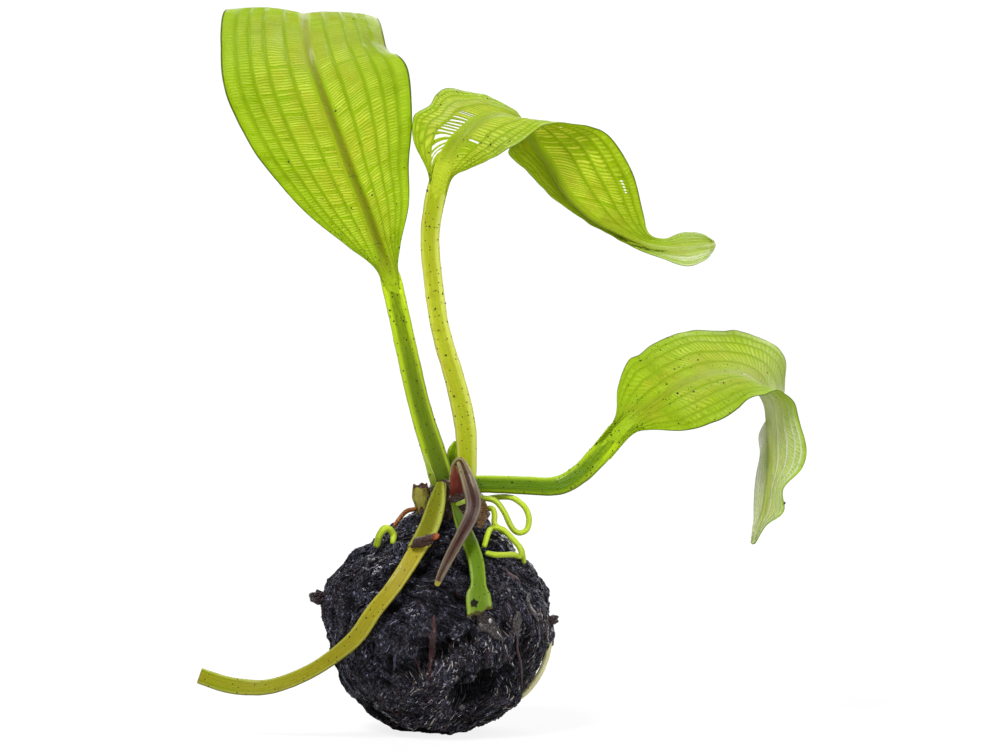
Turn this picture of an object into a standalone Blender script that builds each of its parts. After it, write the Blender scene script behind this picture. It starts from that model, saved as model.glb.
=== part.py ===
"""Madagascar lace plant rooted in a ball of wet peat.

The plant stands on the flattened underside of its ball. The origin is the middle of that flat face,
+Z is up and -Y is the front. Points and sizes are in millimetres, and each mesh is turned into
metres as it is made.
"""

from typing import NamedTuple

import bmesh
import bpy
import numpy as np

MM = 0.001
GAP = 0.3

BALL_RADIUS = 24.2
BALL_CENTRE_HEIGHT = 23.5
BALL_COLUMNS = 44
BALL_ROWS = 24
# The rolling relief of the ball: how many waves each way, and how high.
BALL_RELIEF = (((7, 9, 8), 0.3), ((14, 16, 15), 0.3))

TUBER_CENTRE = (3.2, 1.5, 48.3)
TUBER_RADII = (8.0, 7.4, 6.8)
TUBER_COLUMNS = 14
TUBER_ROWS = 8
TUBER_KNOBS = ((5, 6, 7), 0.03)

BLADE_THICKNESS = 0.55
BLADE_EDGE_THINNING = 0.35
MIDRIB_HEIGHT = 0.9
MIDRIB_FADE = 0.7
# How quickly the swell and the wave of a blade grow from its two ends.
BLADE_TAPER_POWER = 0.5
BLADE_COLUMNS = (-1, -0.72, -0.4, -0.08, 0, 0.08, 0.4, 0.72, 1)
# A higher power keeps the hollow of a stalk nearer to its middle line.
CHANNEL_POWER = 4
ROOT_WIDTH = 1.25
ROOT_TIP_SHARE = 0.8
ROOT_SIDES = 7
ROOT_FACE = (0.3, -1, 0.2)
CHIP_EDGE_DEGREES = 40
RIPPLE_PHASE = 1.7


class Station(NamedTuple):
    """One section across a leaf blade: its left edge, its midrib and its right edge."""

    left: tuple
    mid: tuple
    right: tuple


class Blade(NamedTuple):
    """A leaf blade through its stations, with the swell of each half and the wave of its edges."""

    stations: tuple
    swell: float
    wave_height: float
    wave_count: float
    rows: int


class Strand(NamedTuple):
    """A stalk, root or furled leaf: a profile carried along a path.

    face is the way that its channelled side looks, and channel is the hollow of that side as a
    share of the half thickness.
    """

    path: tuple
    widths: tuple
    depths: tuple
    face: tuple = (0, -1, 0)
    channel: float = 0.0
    sides: int = 8
    rows: int = 14


# Each finish is a colour, a roughness and a metallic value.
FINISHES = {
    "leaf green": ((0.38, 0.58, 0.05), 0.45, 0.0),
    "stalk green": ((0.30, 0.48, 0.03), 0.4, 0.0),
    "dark stalk green": ((0.12, 0.30, 0.02), 0.4, 0.0),
    "old stalk yellow": ((0.55, 0.50, 0.09), 0.5, 0.0),
    "young leaf purple": ((0.24, 0.14, 0.10), 0.45, 0.0),
    "bud red": ((0.30, 0.07, 0.05), 0.45, 0.0),
    "root lime": ((0.50, 0.62, 0.08), 0.45, 0.0),
    "root pale": ((0.72, 0.68, 0.45), 0.5, 0.0),
    "rootlet orange": ((0.42, 0.17, 0.03), 0.5, 0.0),
    "wet peat": ((0.02, 0.018, 0.02), 0.35, 0.0),
    "tuber brown": ((0.07, 0.04, 0.025), 0.5, 0.0),
    "bark brown": ((0.16, 0.06, 0.035), 0.6, 0.0),
}

LEFT_BLADE = Blade(
    stations=(
        Station((-12.6, 3.4, 99.9), (-10.6, 2.9, 100.5), (-8.4, 3.2, 100.1)),
        Station((-19.7, 3.0, 105.8), (-12.6, 2.5, 105.9), (-7.9, 2.4, 106.2)),
        Station((-28.6, 3.5, 113.0), (-15.4, 2.0, 114.0), (-6.1, 1.6, 114.7)),
        Station((-36.2, 4.5, 121.4), (-18.7, 2.0, 122.2), (-6.1, 2.4, 123.9)),
        Station((-41.5, 5.5, 129.1), (-21.5, 2.5, 129.8), (-5.4, 3.4, 132.7)),
        Station((-45.8, 7.0, 138.0), (-25.0, 3.5, 139.2), (-5.9, 4.0, 141.1)),
        Station((-47.3, 10.0, 146.5), (-27.6, 6.0, 146.4), (-9.2, 6.5, 146.3)),
        Station((-47.4, 15.0, 154.2), (-28.9, 11.0, 152.7), (-11.6, 11.0, 151.6)),
        Station((-45.9, 21.0, 157.1), (-29.4, 18.0, 155.9), (-13.3, 19.0, 155.0)),
        Station((-42.5, 27.0, 154.6), (-29.6, 25.0, 154.8), (-16.0, 26.0, 153.6)),
        Station((-37.5, 33.0, 151.0), (-29.6, 32.0, 151.6), (-21.0, 32.5, 150.6)),
        Station((-31.0, 37.5, 147.3), (-29.6, 38.0, 147.0), (-28.2, 37.5, 147.3)),
    ),
    swell=0.9,
    wave_height=0.5,
    wave_count=6.0,
    rows=24,
)

MIDDLE_BLADE = Blade(
    stations=(
        Station((-1.4, 0.3, 120.8), (0.9, 0.0, 121.3), (3.4, 0.0, 120.6)),
        Station((-4.9, -0.4, 128.2), (2.4, 0.0, 125.2), (6.7, -1.5, 122.5)),
        Station((-5.2, 0.6, 133.3), (4.1, 0.5, 128.0), (10.2, -3.0, 124.1)),
        Station((-2.1, 4.5, 137.2), (6.1, 1.0, 130.1), (13.0, -4.0, 125.7)),
        Station((3.4, 8.0, 139.9), (8.7, 2.0, 132.5), (16.1, -5.0, 127.7)),
        Station((10.8, 11.0, 138.2), (11.5, 3.0, 133.8), (18.9, -5.0, 129.4)),
        Station((16.3, 13.0, 134.5), (14.8, 4.5, 134.0), (21.7, -3.5, 131.1)),
        Station((18.3, 14.5, 131.4), (17.6, 7.0, 132.8), (24.1, -1.0, 132.3)),
        Station((16.3, 15.0, 127.8), (19.6, 8.5, 130.5), (27.4, 1.5, 133.0)),
        Station((15.4, 15.0, 125.2), (21.3, 8.5, 127.9), (33.3, 4.0, 131.3)),
        Station((19.8, 14.0, 121.6), (24.1, 7.5, 123.9), (38.0, 5.0, 129.0)),
        Station((25.4, 12.0, 115.9), (28.0, 6.0, 117.2), (42.6, 6.0, 121.6)),
        Station((32.2, 9.0, 110.9), (33.9, 5.0, 111.6), (45.0, 7.0, 113.0)),
        Station((39.8, 6.0, 106.8), (41.0, 5.0, 107.9), (46.3, 8.0, 108.3)),
        Station((47.4, 3.0, 103.5), (47.8, 5.0, 105.2), (49.3, 9.0, 107.0)),
        Station((54.1, 0.0, 101.6), (54.6, 4.0, 105.0), (53.7, 9.0, 108.5)),
        Station((58.3, 0.5, 103.2), (58.0, 3.0, 105.6), (57.8, 6.0, 107.8)),
        Station((60.2, 1.8, 105.5), (60.4, 2.5, 106.1), (60.2, 3.2, 106.7)),
    ),
    swell=0.5,
    wave_height=0.25,
    wave_count=7.0,
    rows=29,
)

RIGHT_BLADE = Blade(
    stations=(
        Station((38.9, -1.4, 68.9), (40.7, -2.0, 66.8), (42.6, -2.6, 65.0)),
        Station((39.3, 1.0, 75.0), (44.1, -2.0, 69.3), (45.9, -5.0, 66.3)),
        Station((41.5, 3.0, 80.5), (47.8, -1.5, 72.1), (51.1, -7.5, 66.2)),
        Station((47.4, 5.5, 84.0), (51.7, -1.0, 74.9), (56.5, -9.5, 67.0)),
        Station((55.0, 8.5, 87.2), (56.7, 0.0, 77.2), (62.0, -10.5, 69.4)),
        Station((61.5, 10.5, 86.9), (62.0, 1.0, 78.2), (66.3, -10.0, 72.1)),
        Station((68.5, 11.5, 86.2), (66.1, 2.0, 77.7), (69.6, -9.0, 74.1)),
        Station((73.7, 12.0, 83.8), (68.9, 3.0, 75.9), (72.0, -7.5, 74.6)),
        Station((76.5, 12.0, 79.6), (70.6, 3.5, 73.6), (74.6, -6.0, 74.3)),
        Station((76.5, 11.0, 75.0), (71.8, 3.0, 71.0), (77.0, -4.5, 72.5)),
        Station((74.3, 9.0, 70.1), (72.1, 2.0, 67.9), (78.5, -3.0, 68.0)),
        Station((70.7, 6.5, 65.0), (72.2, 1.0, 64.3), (80.3, -2.5, 62.6)),
        Station((69.9, 5.0, 59.5), (72.4, 0.5, 59.5), (79.3, -2.0, 57.7)),
        Station((69.6, 4.0, 53.6), (72.0, 0.5, 53.7), (75.4, -1.5, 53.1)),
        Station((69.0, 3.5, 47.8), (71.3, 1.0, 48.6), (75.4, -0.5, 48.0)),
        Station((68.7, 3.0, 43.3), (69.8, 1.5, 44.0), (71.8, 0.5, 44.9)),
        Station((68.5, 2.4, 40.8), (68.9, 2.0, 40.6), (69.3, 1.7, 40.9)),
    ),
    swell=0.4,
    wave_height=0.3,
    wave_count=8.0,
    rows=28,
)

STALKS = {
    "left_leaf_stalk": Strand(
        path=((1.9, 2.2, 52.4), (-0.1, 2.3, 58.8), (-3.6, 2.4, 70.0), (-6.2, 2.6, 81.0),
              (-8.6, 2.9, 92.0), (-10.3, 3.0, 99.2)),
        widths=(4.8, 5.2, 4.8, 4.7, 4.6, 4.6),
        depths=(3.0, 3.1, 3.0, 2.8, 2.4, 1.7),
        channel=0.35,
        sides=10,
        rows=18,
    ),
    "middle_leaf_stalk": Strand(
        path=((6.4, 3.3, 52.0), (6.5, 3.2, 58.0), (6.1, 2.9, 66.5), (3.9, 2.3, 76.5),
              (1.0, 1.7, 86.5), (-0.5, 1.1, 95.5), (-1.5, 0.6, 106.5), (-0.8, 0.3, 114.0),
              (0.6, 0.1, 120.0)),
        widths=(4.0, 4.2, 4.7, 4.4, 4.1, 4.1, 4.1, 4.3, 4.6),
        depths=(3.0, 3.0, 2.9, 2.8, 2.7, 2.6, 2.5, 2.2, 1.7),
        channel=0.3,
        sides=10,
        rows=20,
    ),
    "right_leaf_stalk": Strand(
        path=((5.6, -0.9, 53.6), (9.6, -1.0, 54.1), (18.0, -1.4, 53.9), (26.0, -2.0, 53.8),
              (31.0, -2.2, 56.4), (35.3, -2.2, 60.7), (40.2, -2.1, 66.4)),
        widths=(3.3, 3.8, 4.0, 4.2, 4.5, 4.8, 5.3),
        depths=(2.6, 2.8, 2.8, 2.8, 2.7, 2.3, 1.7),
        face=(-0.25, -1, 0.3),
        channel=0.25,
        sides=10,
        rows=20,
    ),
    "yellow_cut_stalk": Strand(
        path=((1.0, -3.4, 54.0), (0.3, -7.1, 50.9), (-1.2, -12.4, 46.3), (-4.2, -19.0, 41.3),
              (-8.7, -22.8, 34.5), (-13.3, -23.1, 28.7), (-17.1, -21.6, 23.1),
              (-22.6, -18.6, 18.1), (-28.5, -16.2, 14.3), (-35.2, -14.4, 11.6),
              (-40.4, -13.2, 11.1), (-45.5, -12.5, 11.7), (-51.1, -12.0, 13.5)),
        widths=(2.9, 3.8, 4.8, 4.6, 4.4, 4.5, 4.7, 3.8, 3.6, 3.7, 4.0, 4.0, 3.8),
        depths=(1.6, 1.7, 1.7, 1.6, 1.6, 1.6, 1.6, 1.7, 1.8, 1.9, 1.9, 1.9, 1.8),
        face=(-0.15, -1, 0.35),
        channel=0.3,
        rows=23,
    ),
    "green_cut_stalk": Strand(
        path=((3.8, -6.5, 49.6), (5.0, -10.6, 47.2), (6.8, -14.9, 43.6), (8.3, -18.8, 39.6),
              (9.1, -21.6, 35.2), (9.3, -23.5, 31.0), (9.2, -24.3, 28.4)),
        widths=(2.6, 3.4, 4.0, 3.9, 3.6, 4.2, 5.2),
        depths=(1.5, 1.5, 1.5, 1.4, 1.4, 1.3, 1.1),
        face=(0.15, -1, 0.45),
        channel=0.2,
        rows=14,
    ),
    "purple_young_leaf": Strand(
        path=((3.3, -1.5, 54.0), (3.7, -1.8, 57.2), (4.7, -3.2, 59.2), (6.0, -5.8, 58.2), (7.5, -8.4, 54.6),
              (8.2, -11.6, 50.8), (7.4, -15.6, 46.9), (5.1, -20.2, 42.8), (2.9, -23.1, 38.7),
              (1.2, -25.2, 35.2), (0.6, -25.8, 33.6)),
        widths=(1.8, 2.2, 2.6, 3.0, 3.3, 3.2, 3.2, 2.9, 2.6, 1.9, 1.1),
        depths=(0.9, 0.9, 1.2, 1.5, 1.6, 1.6, 1.5, 1.4, 1.3, 1.1, 0.8),
        face=(0.1, -1, 0.4),
        channel=0.75,
        rows=19,
    ),
    "red_bud": Strand(
        path=((4.4, -4.2, 51.8), (4.3, -4.5, 54.0), (4.0, -4.4, 56.2), (3.9, -4.2, 58.0)),
        widths=(3.2, 3.0, 2.0, 0.8),
        depths=(1.8, 1.8, 1.4, 0.6),
        rows=8,
    ),
    "green_shoot": Strand(
        path=((3.4, 5.9, 52.0), (3.2, 6.1, 56.5), (3.3, 6.1, 60.5), (3.8, 6.0, 62.6)),
        widths=(2.4, 2.6, 2.2, 0.8),
        depths=(1.8, 1.8, 1.5, 0.7),
        rows=8,
    ),
    "old_stalk_stub": Strand(
        path=((-2.7, -1.4, 47.6), (-3.3, -1.5, 50.3), (-3.6, -1.5, 52.6), (-3.7, -1.5, 53.7)),
        widths=(3.4, 3.8, 3.7, 3.2),
        depths=(2.6, 2.8, 2.7, 2.2),
        face=(-0.4, -1, 0),
        channel=0.2,
        rows=8,
    ),
    "brown_husk": Strand(
        path=((8.4, -2.9, 51.0), (9.6, -4.9, 50.2), (9.9, -6.9, 47.9), (9.2, -8.9, 45.6)),
        widths=(1.8, 2.6, 2.4, 1.2),
        depths=(0.8, 1.0, 1.0, 0.7),
        face=(0.5, -1, 0.3),
        channel=0.5,
        rows=8,
    ),
}

ROOTS = {
    "root_loop": ((9.2, -1.4, 51.2), (12.6, -2.8, 50.6), (14.6, -4.4, 48.3), (15.9, -4.8, 45.6),
                  (17.1, -4.6, 44.1), (18.4, -4.2, 43.8), (19.6, -3.8, 44.6), (20.0, -3.4, 46.7),
                  (19.3, -3.0, 48.9), (17.9, -2.2, 50.3), (16.0, -1.2, 51.2), (12.9, 0.4, 51.1),
                  (9.7, 1.6, 50.5)),
    "root_bent": ((9.4, -2.8, 48.4), (11.8, -4.6, 49.1), (12.5, -5.9, 48.0), (12.5, -7.4, 46.2),
                  (13.5, -8.6, 45.1), (15.3, -9.4, 44.0), (17.1, -9.6, 42.2), (18.2, -9.2, 40.8),
                  (18.6, -8.6, 39.3), (18.9, -8.0, 37.9)),
    "root_level": ((11.1, -17.1, 40.6), (12.7, -16.4, 40.2), (14.8, -14.4, 40.0),
                   (16.6, -12.0, 39.8), (17.7, -10.6, 39.2)),
    "root_short": ((10.4, -15.7, 42.2), (10.9, -13.9, 43.9), (11.4, -11.8, 45.0),
                   (12.0, -9.7, 45.3)),
    "root_curl": ((-12.9, -11.6, 42.0), (-12.2, -12.6, 44.2), (-11.2, -12.6, 45.5),
                  (-10.1, -12.2, 45.3), (-9.3, -11.7, 44.0), (-9.4, -12.4, 42.6)),
    "orange_rootlet": ((-4.6, -3.4, 48.9), (-6.5, -4.0, 48.5), (-7.9, -4.8, 47.2),
                       (-9.2, -5.6, 45.4)),
    "pale_side_root": ((24.7, -2.2, 22.0), (24.1, -3.0, 17.6), (22.6, -3.4, 13.4),
                       (20.2, -3.6, 9.8), (18.2, -3.6, 7.8)),
}
ROOT_WIDTHS = {"root_curl": 1.5, "orange_rootlet": 1.0, "pale_side_root": 1.3}

# Outline of each flat piece of bark in its own plane, with its middle, its two axes and its
# thickness.
BARK = {
    "bark_chip": (
        ((-3.1, -1.4), (-2.0, 1.0), (0.0, 1.2), (2.3, 1.9), (3.0, 1.2), (1.6, -0.4), (-0.6, -1.3)),
        (-2.3, -20.3, 43.6), (1, 0.12, 0.05), (0, -0.45, 1), 1.0,
    ),
    "bark_flake_left": (
        ((-1.6, -1.2), (-1.9, 0.4), (-0.6, 1.5), (1.4, 1.2), (1.7, -0.9), (0.2, -1.7)),
        (-25.8, -1.0, 29.4), (1, 0.2, -0.2), (0.2, 0.3, 1), 1.1,
    ),
    "bark_flake_right": (
        ((-0.9, -1.1), (-1.0, 0.8), (0.1, 1.2), (1.1, 0.5), (1.0, -0.6), (0.2, -1.0)),
        (25.35, -2.4, 24.6), (1, -0.1, 0.15), (-0.15, 0.2, 1), 1.0,
    ),
}

# Each lump or dent of the ball: the way it faces from the middle, its height and its spread,
# both in millimetres.
BALL_LUMPS = (
    ((0.0, 0.0, -1.0), 0.35, 9.0),
    ((-0.96, 0.0, 0.28), 0.7, 6.0),
    ((-0.62, -0.1, 0.78), -2.0, 9.0),
    ((-0.86, -0.3, -0.4), -0.5, 8.0),
    ((1.0, -0.1, 0.05), 0.2, 7.0),
    ((0.42, -0.1, -0.9), -0.9, 6.0),
    ((0.8, 0.1, 0.6), -1.3, 8.0),
    ((0.32, -0.75, -0.58), -2.6, 3.6),
    ((0.02, -0.9, -0.1), -0.8, 3.4),
    ((-0.2, -0.85, -0.6), 0.9, 6.0),
    ((0.6, -0.75, -0.1), 0.8, 5.0),
    ((-0.5, 0.8, 0.1), 1.0, 8.0),
    ((0.4, 0.9, -0.3), -1.0, 6.0),
    ((0.1, 0.7, 0.6), 0.8, 7.0),
    ((-0.3, 0.7, -0.7), -0.8, 6.0),
)

# Which pieces reach into the tuber or the ball, which keep a seat for them.
SEATED_IN_TUBER = (
    "left_leaf_stalk", "middle_leaf_stalk", "right_leaf_stalk", "green_cut_stalk", "red_bud",
    "green_shoot", "old_stalk_stub", "brown_husk", "yellow_cut_stalk", "purple_young_leaf",
    "root_loop", "root_bent", "orange_rootlet",
)
SEATED_IN_BALL = ("root_curl", "root_level", "root_short", "root_bent", "pale_side_root",
                  "orange_rootlet", "green_cut_stalk", "yellow_cut_stalk")

FINISH_OF = {
    "peat_ball": "wet peat",
    "tuber": "tuber brown",
    "left_leaf_blade": "leaf green",
    "middle_leaf_blade": "leaf green",
    "right_leaf_blade": "leaf green",
    "left_leaf_stalk": "stalk green",
    "middle_leaf_stalk": "stalk green",
    "right_leaf_stalk": "dark stalk green",
    "yellow_cut_stalk": "old stalk yellow",
    "green_cut_stalk": "stalk green",
    "purple_young_leaf": "young leaf purple",
    "red_bud": "bud red",
    "green_shoot": "dark stalk green",
    "old_stalk_stub": "stalk green",
    "brown_husk": "bark brown",
    "root_loop": "root lime",
    "root_bent": "root lime",
    "root_level": "root lime",
    "root_short": "root lime",
    "root_curl": "root lime",
    "orange_rootlet": "rootlet orange",
    "pale_side_root": "root pale",
    "bark_chip": "bark brown",
    "bark_flake_left": "bark brown",
    "bark_flake_right": "bark brown",
}


def finish(name):
    """The Principled material of this name, made on first use."""
    found = bpy.data.materials.get(name)
    if found:
        return found
    colour, roughness, metallic = FINISHES[name]
    made = bpy.data.materials.new(name)
    made.use_nodes = True
    shader = made.node_tree.nodes["Principled BSDF"]
    shader.inputs["Base Color"].default_value = (*colour, 1.0)
    shader.inputs["Roughness"].default_value = roughness
    shader.inputs["Metallic"].default_value = metallic
    return made


def add_object(name, points, faces):
    """A smooth-shaded object from points in millimetres, with its faces turned outwards."""
    mesh = bpy.data.meshes.new(name)
    mesh.from_pydata((np.asarray(points) * MM).tolist(), [], faces)
    shape = bmesh.new()
    shape.from_mesh(mesh)
    bmesh.ops.recalc_face_normals(shape, faces=shape.faces)
    shape.to_mesh(mesh)
    shape.free()
    mesh.shade_smooth()
    obj = bpy.data.objects.new(name, mesh)
    bpy.context.scene.collection.objects.link(obj)
    if name in FINISH_OF:
        mesh.materials.append(finish(FINISH_OF[name]))
    return obj


def unit(vectors):
    """The same vectors at length one."""
    vectors = np.asarray(vectors, float)
    return vectors / np.linalg.norm(vectors, axis=-1, keepdims=True)


def smooth_through(points, count):
    """A Catmull-Rom curve through points, read at count evenly spaced parameters."""
    points = np.asarray(points, float)
    padded = np.concatenate([[2 * points[0] - points[1]], points, [2 * points[-1] - points[-2]]])
    at = np.linspace(0, len(points) - 1, count)
    first = np.minimum(at.astype(int), len(points) - 2)
    u = (at - first).reshape(-1, *[1] * (points.ndim - 1))
    p0, p1, p2, p3 = (padded[first + k] for k in range(4))
    return 0.5 * (
        2 * p1
        + (p2 - p0) * u
        + (2 * p0 - 5 * p1 + 4 * p2 - p3) * u**2
        + (3 * p1 - p0 - 3 * p2 + p3) * u**3
    )


def grid_faces(rows, columns, first=0, wrap=False):
    """Four-sided faces over a grid of points stored row by row."""
    i, j = np.meshgrid(np.arange(rows - 1), np.arange(columns if wrap else columns - 1))
    right = (j + 1) % columns
    corners = (i * columns + j, i * columns + right, (i + 1) * columns + right, (i + 1) * columns + j)
    return (np.stack([c.ravel() for c in corners], axis=1) + first).tolist()


def add_blade(name, blade):
    """A thin closed leaf: a sheet through the stations, given its thickness both ways.

    Each half swells towards the upper face, the edges wave a little, and the underside carries
    the midrib as a ridge.
    """
    across = np.array(BLADE_COLUMNS)
    stations = smooth_through(blade.stations, blade.rows)
    left, mid, right = (stations[:, None, k] for k in range(3))
    reach = np.abs(across)[None, :, None]
    edge = np.where(across[None, :, None] < 0, left, right)
    sheet = mid + (edge - mid) * reach
    normal = sheet_normals(sheet)
    along = np.linspace(0, 1, blade.rows)[:, None, None]
    taper = np.sin(np.pi * along) ** BLADE_TAPER_POWER
    lift = blade.swell * np.sin(np.pi * reach)
    lift = lift + blade.wave_height * reach**2 * np.sin(2 * np.pi * blade.wave_count * along)
    sheet = sheet + normal * lift * taper
    half = 0.5 * BLADE_THICKNESS * (1 - BLADE_EDGE_THINNING * reach)
    ridge = MIDRIB_HEIGHT * (reach == 0) * (1 - MIDRIB_FADE * along)
    upper = sheet + normal * half
    under = sheet - normal * (half + ridge)
    rows, columns = sheet.shape[:2]
    count = rows * columns
    faces = grid_faces(rows, columns) + grid_faces(rows, columns, count)
    rim = rim_of(rows, columns)
    turned = np.roll(rim, -1)
    faces += np.stack([rim, turned, turned + count, rim + count], axis=1).tolist()
    points = np.concatenate([upper.reshape(-1, 3), under.reshape(-1, 3)])
    return add_object(name, points, faces)


def sheet_normals(sheet):
    """The unit normal at each point of a grid, from its two directions."""
    return unit(np.cross(np.gradient(sheet, axis=1), np.gradient(sheet, axis=0)))


def rim_of(rows, columns):
    """The indices of a grid's outer points, once round."""
    grid = np.arange(rows * columns).reshape(rows, columns)
    return np.concatenate([grid[0, :-1], grid[:-1, -1], grid[-1, :0:-1], grid[:0:-1, 0]])


def strand_points(strand, grow):
    """Rings of a strand's surface: an ellipse with one hollowed side, carried along the path."""
    path = smooth_through(strand.path, strand.rows)
    width = smooth_through(np.array(strand.widths)[:, None], strand.rows) + 2 * grow
    depth = smooth_through(np.array(strand.depths)[:, None], strand.rows) + 2 * grow
    tangent = unit(np.gradient(path, axis=0))
    path[0] -= tangent[0] * grow
    path[-1] += tangent[-1] * grow
    sideways = unit(np.cross(tangent, strand.face))
    outwards = np.cross(sideways, tangent)
    turn = np.linspace(0, 2 * np.pi, strand.sides, endpoint=False)
    front = np.clip(np.sin(turn), 0, 1)
    u = np.cos(turn)
    v = np.sin(turn) - strand.channel * front**CHANNEL_POWER
    return (
        path[:, None]
        + sideways[:, None] * u[None, :, None] * width[:, None] / 2
        + outwards[:, None] * v[None, :, None] * depth[:, None] / 2
    )


def add_strand(name, strand, grow=0.0):
    """A strand as one closed tube with its two ends capped."""
    rings = strand_points(strand, grow)
    rows, columns = rings.shape[:2]
    faces = grid_faces(rows, columns, wrap=True)
    faces.append(list(range(columns)))
    faces.append(list(range((rows - 1) * columns, rows * columns)))
    return add_object(name, rings.reshape(-1, 3), faces)


def root_strand(name):
    """A round strand along one of the roots, thinner at its far end."""
    path = ROOTS[name]
    width = ROOT_WIDTHS.get(name, ROOT_WIDTH)
    widths = (width,) * (len(path) - 1) + (ROOT_TIP_SHARE * width,)
    return Strand(path, widths, widths, face=ROOT_FACE, sides=ROOT_SIDES, rows=2 * len(path))


def ball_directions(columns, rows):
    """Unit vectors over a sphere: a ring of columns on each level, and the two poles."""
    level = np.linspace(0, np.pi, rows + 1)[1:-1, None]
    turn = np.linspace(0, 2 * np.pi, columns, endpoint=False)[None]
    rings = np.stack([np.sin(level) * np.cos(turn), np.sin(level) * np.sin(turn),
                      np.cos(level) * np.ones_like(turn)], axis=-1)
    return np.concatenate([[[0, 0, 1.0]], rings.reshape(-1, 3), [[0, 0, -1.0]]])


def ball_faces(columns, rows):
    """Faces over ball_directions: a fan at each pole and a grid between them."""
    faces = grid_faces(rows - 1, columns, first=1, wrap=True)
    last = (rows - 1) * columns + 1
    ring = last - columns
    for k in range(columns):
        beside = (k + 1) % columns
        faces.append([0, 1 + k, 1 + beside])
        faces.append([last, ring + k, ring + beside])
    return faces


def ripple(ways, pitches, height):
    """A gentle rolling relief: sines of the direction, crossed."""
    waves = [np.sin(pitch * ways[:, k] + RIPPLE_PHASE * k) for k, pitch in enumerate(pitches)]
    return height * (waves[0] * waves[1] + waves[1] * waves[2] + waves[2] * waves[0])


def add_peat_ball():
    """The ball: a sphere with lumps and dents, cut flat where it stands."""
    ways = ball_directions(BALL_COLUMNS, BALL_ROWS)
    radius = BALL_RADIUS + sum(ripple(ways, pitches, height) for pitches, height in BALL_RELIEF)
    for facing, height, spread in BALL_LUMPS:
        apart = np.linalg.norm(ways - unit(facing), axis=1) * BALL_RADIUS
        radius += height * np.exp(-((apart / spread) ** 2))
    points = ways * radius[:, None]
    points[:, 2] = np.maximum(points[:, 2] + BALL_CENTRE_HEIGHT, 0.0)
    return add_object("peat_ball", points, ball_faces(BALL_COLUMNS, BALL_ROWS))


def add_tuber(name="tuber", grow=0.0):
    """The knobbly rootstock: an egg shape with rolling knobs."""
    ways = ball_directions(TUBER_COLUMNS, TUBER_ROWS)
    points = ways * (np.array(TUBER_RADII) + grow)
    points *= (1 + ripple(ways, *TUBER_KNOBS))[:, None]
    return add_object(name, points + TUBER_CENTRE, ball_faces(TUBER_COLUMNS, TUBER_ROWS))


def add_bark(name):
    """A flat chip: its outline drawn in its own plane and carried through its thickness."""
    outline, middle, first_axis, second_axis, thickness = BARK[name]
    first_axis = unit(first_axis)
    through = unit(np.cross(first_axis, second_axis))
    second_axis = np.cross(through, first_axis)
    flat = np.array(middle) + np.array(outline) @ np.stack([first_axis, second_axis])
    count = len(outline)
    points = np.concatenate([flat - through * thickness / 2, flat + through * thickness / 2])
    ring = np.arange(count)
    turned = np.roll(ring, -1)
    faces = np.stack([ring, turned, turned + count, ring + count], axis=1).tolist()
    faces += [ring.tolist(), (ring + count).tolist()]
    chip = add_object(name, points, faces)
    chip.data.set_sharp_from_angle(angle=np.radians(CHIP_EDGE_DEGREES))
    return chip


def cut_seat(body, cutter):
    """Cuts the cutter's shape out of the body, and keeps the cutter out of the render."""
    cutter.hide_render = True
    cutter.display_type = "WIRE"
    cutter.hide_set(True)
    modifier = body.modifiers.new("seat of " + cutter.name, "BOOLEAN")
    modifier.operation = "DIFFERENCE"
    modifier.solver = "EXACT"
    modifier.object = cutter


def strand_named(name):
    """The strand of a stalk or of a root."""
    return STALKS[name] if name in STALKS else root_strand(name)


def main():
    """Clears the scene and builds every piece of the plant."""
    for obj in list(bpy.data.objects):
        bpy.data.objects.remove(obj)
    for name, blade in (
        ("left_leaf_blade", LEFT_BLADE),
        ("middle_leaf_blade", MIDDLE_BLADE),
        ("right_leaf_blade", RIGHT_BLADE),
    ):
        add_blade(name, blade)
    for name in (*STALKS, *ROOTS):
        add_strand(name, strand_named(name))
    for name in BARK:
        add_bark(name)
    ball = add_peat_ball()
    tuber = add_tuber()
    cut_seat(ball, add_tuber("tuber_seat", GAP))
    for name in SEATED_IN_TUBER:
        cut_seat(tuber, add_strand(name + "_socket", strand_named(name), GAP))
    for name in SEATED_IN_BALL:
        cut_seat(ball, add_strand(name + "_bed", strand_named(name), GAP))


main()
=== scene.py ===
"""Looks of a madagascar lace plant: its leaves, stalks, roots and peat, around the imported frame.

Points and sizes are in millimetres, and each mesh is turned into metres as it is made. The origin
is the middle of the flat underside of the peat ball, +Z is up and -Y is the front. Colours are
those of a screen, 0 to 255 a channel, and are turned into linear light where a node takes them.
"""

import logging
import math
from dataclasses import dataclass, field
from enum import Enum, IntEnum
from functools import cache
from itertools import product
from typing import NamedTuple

import bpy
import numpy as np
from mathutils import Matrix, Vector
from numpy.typing import NDArray


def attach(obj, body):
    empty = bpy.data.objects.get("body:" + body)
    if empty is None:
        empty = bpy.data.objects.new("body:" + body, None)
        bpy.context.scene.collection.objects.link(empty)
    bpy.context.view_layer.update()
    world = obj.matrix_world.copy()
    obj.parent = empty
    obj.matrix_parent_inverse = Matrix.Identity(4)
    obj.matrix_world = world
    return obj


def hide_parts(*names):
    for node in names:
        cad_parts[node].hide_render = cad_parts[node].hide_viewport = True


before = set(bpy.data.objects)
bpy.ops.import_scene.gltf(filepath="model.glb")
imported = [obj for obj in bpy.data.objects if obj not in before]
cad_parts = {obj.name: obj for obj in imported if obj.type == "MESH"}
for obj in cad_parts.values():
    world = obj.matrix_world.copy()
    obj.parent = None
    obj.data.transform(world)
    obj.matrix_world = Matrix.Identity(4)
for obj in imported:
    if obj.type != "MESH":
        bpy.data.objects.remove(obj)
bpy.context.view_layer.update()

Array = NDArray[np.float64]
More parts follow.
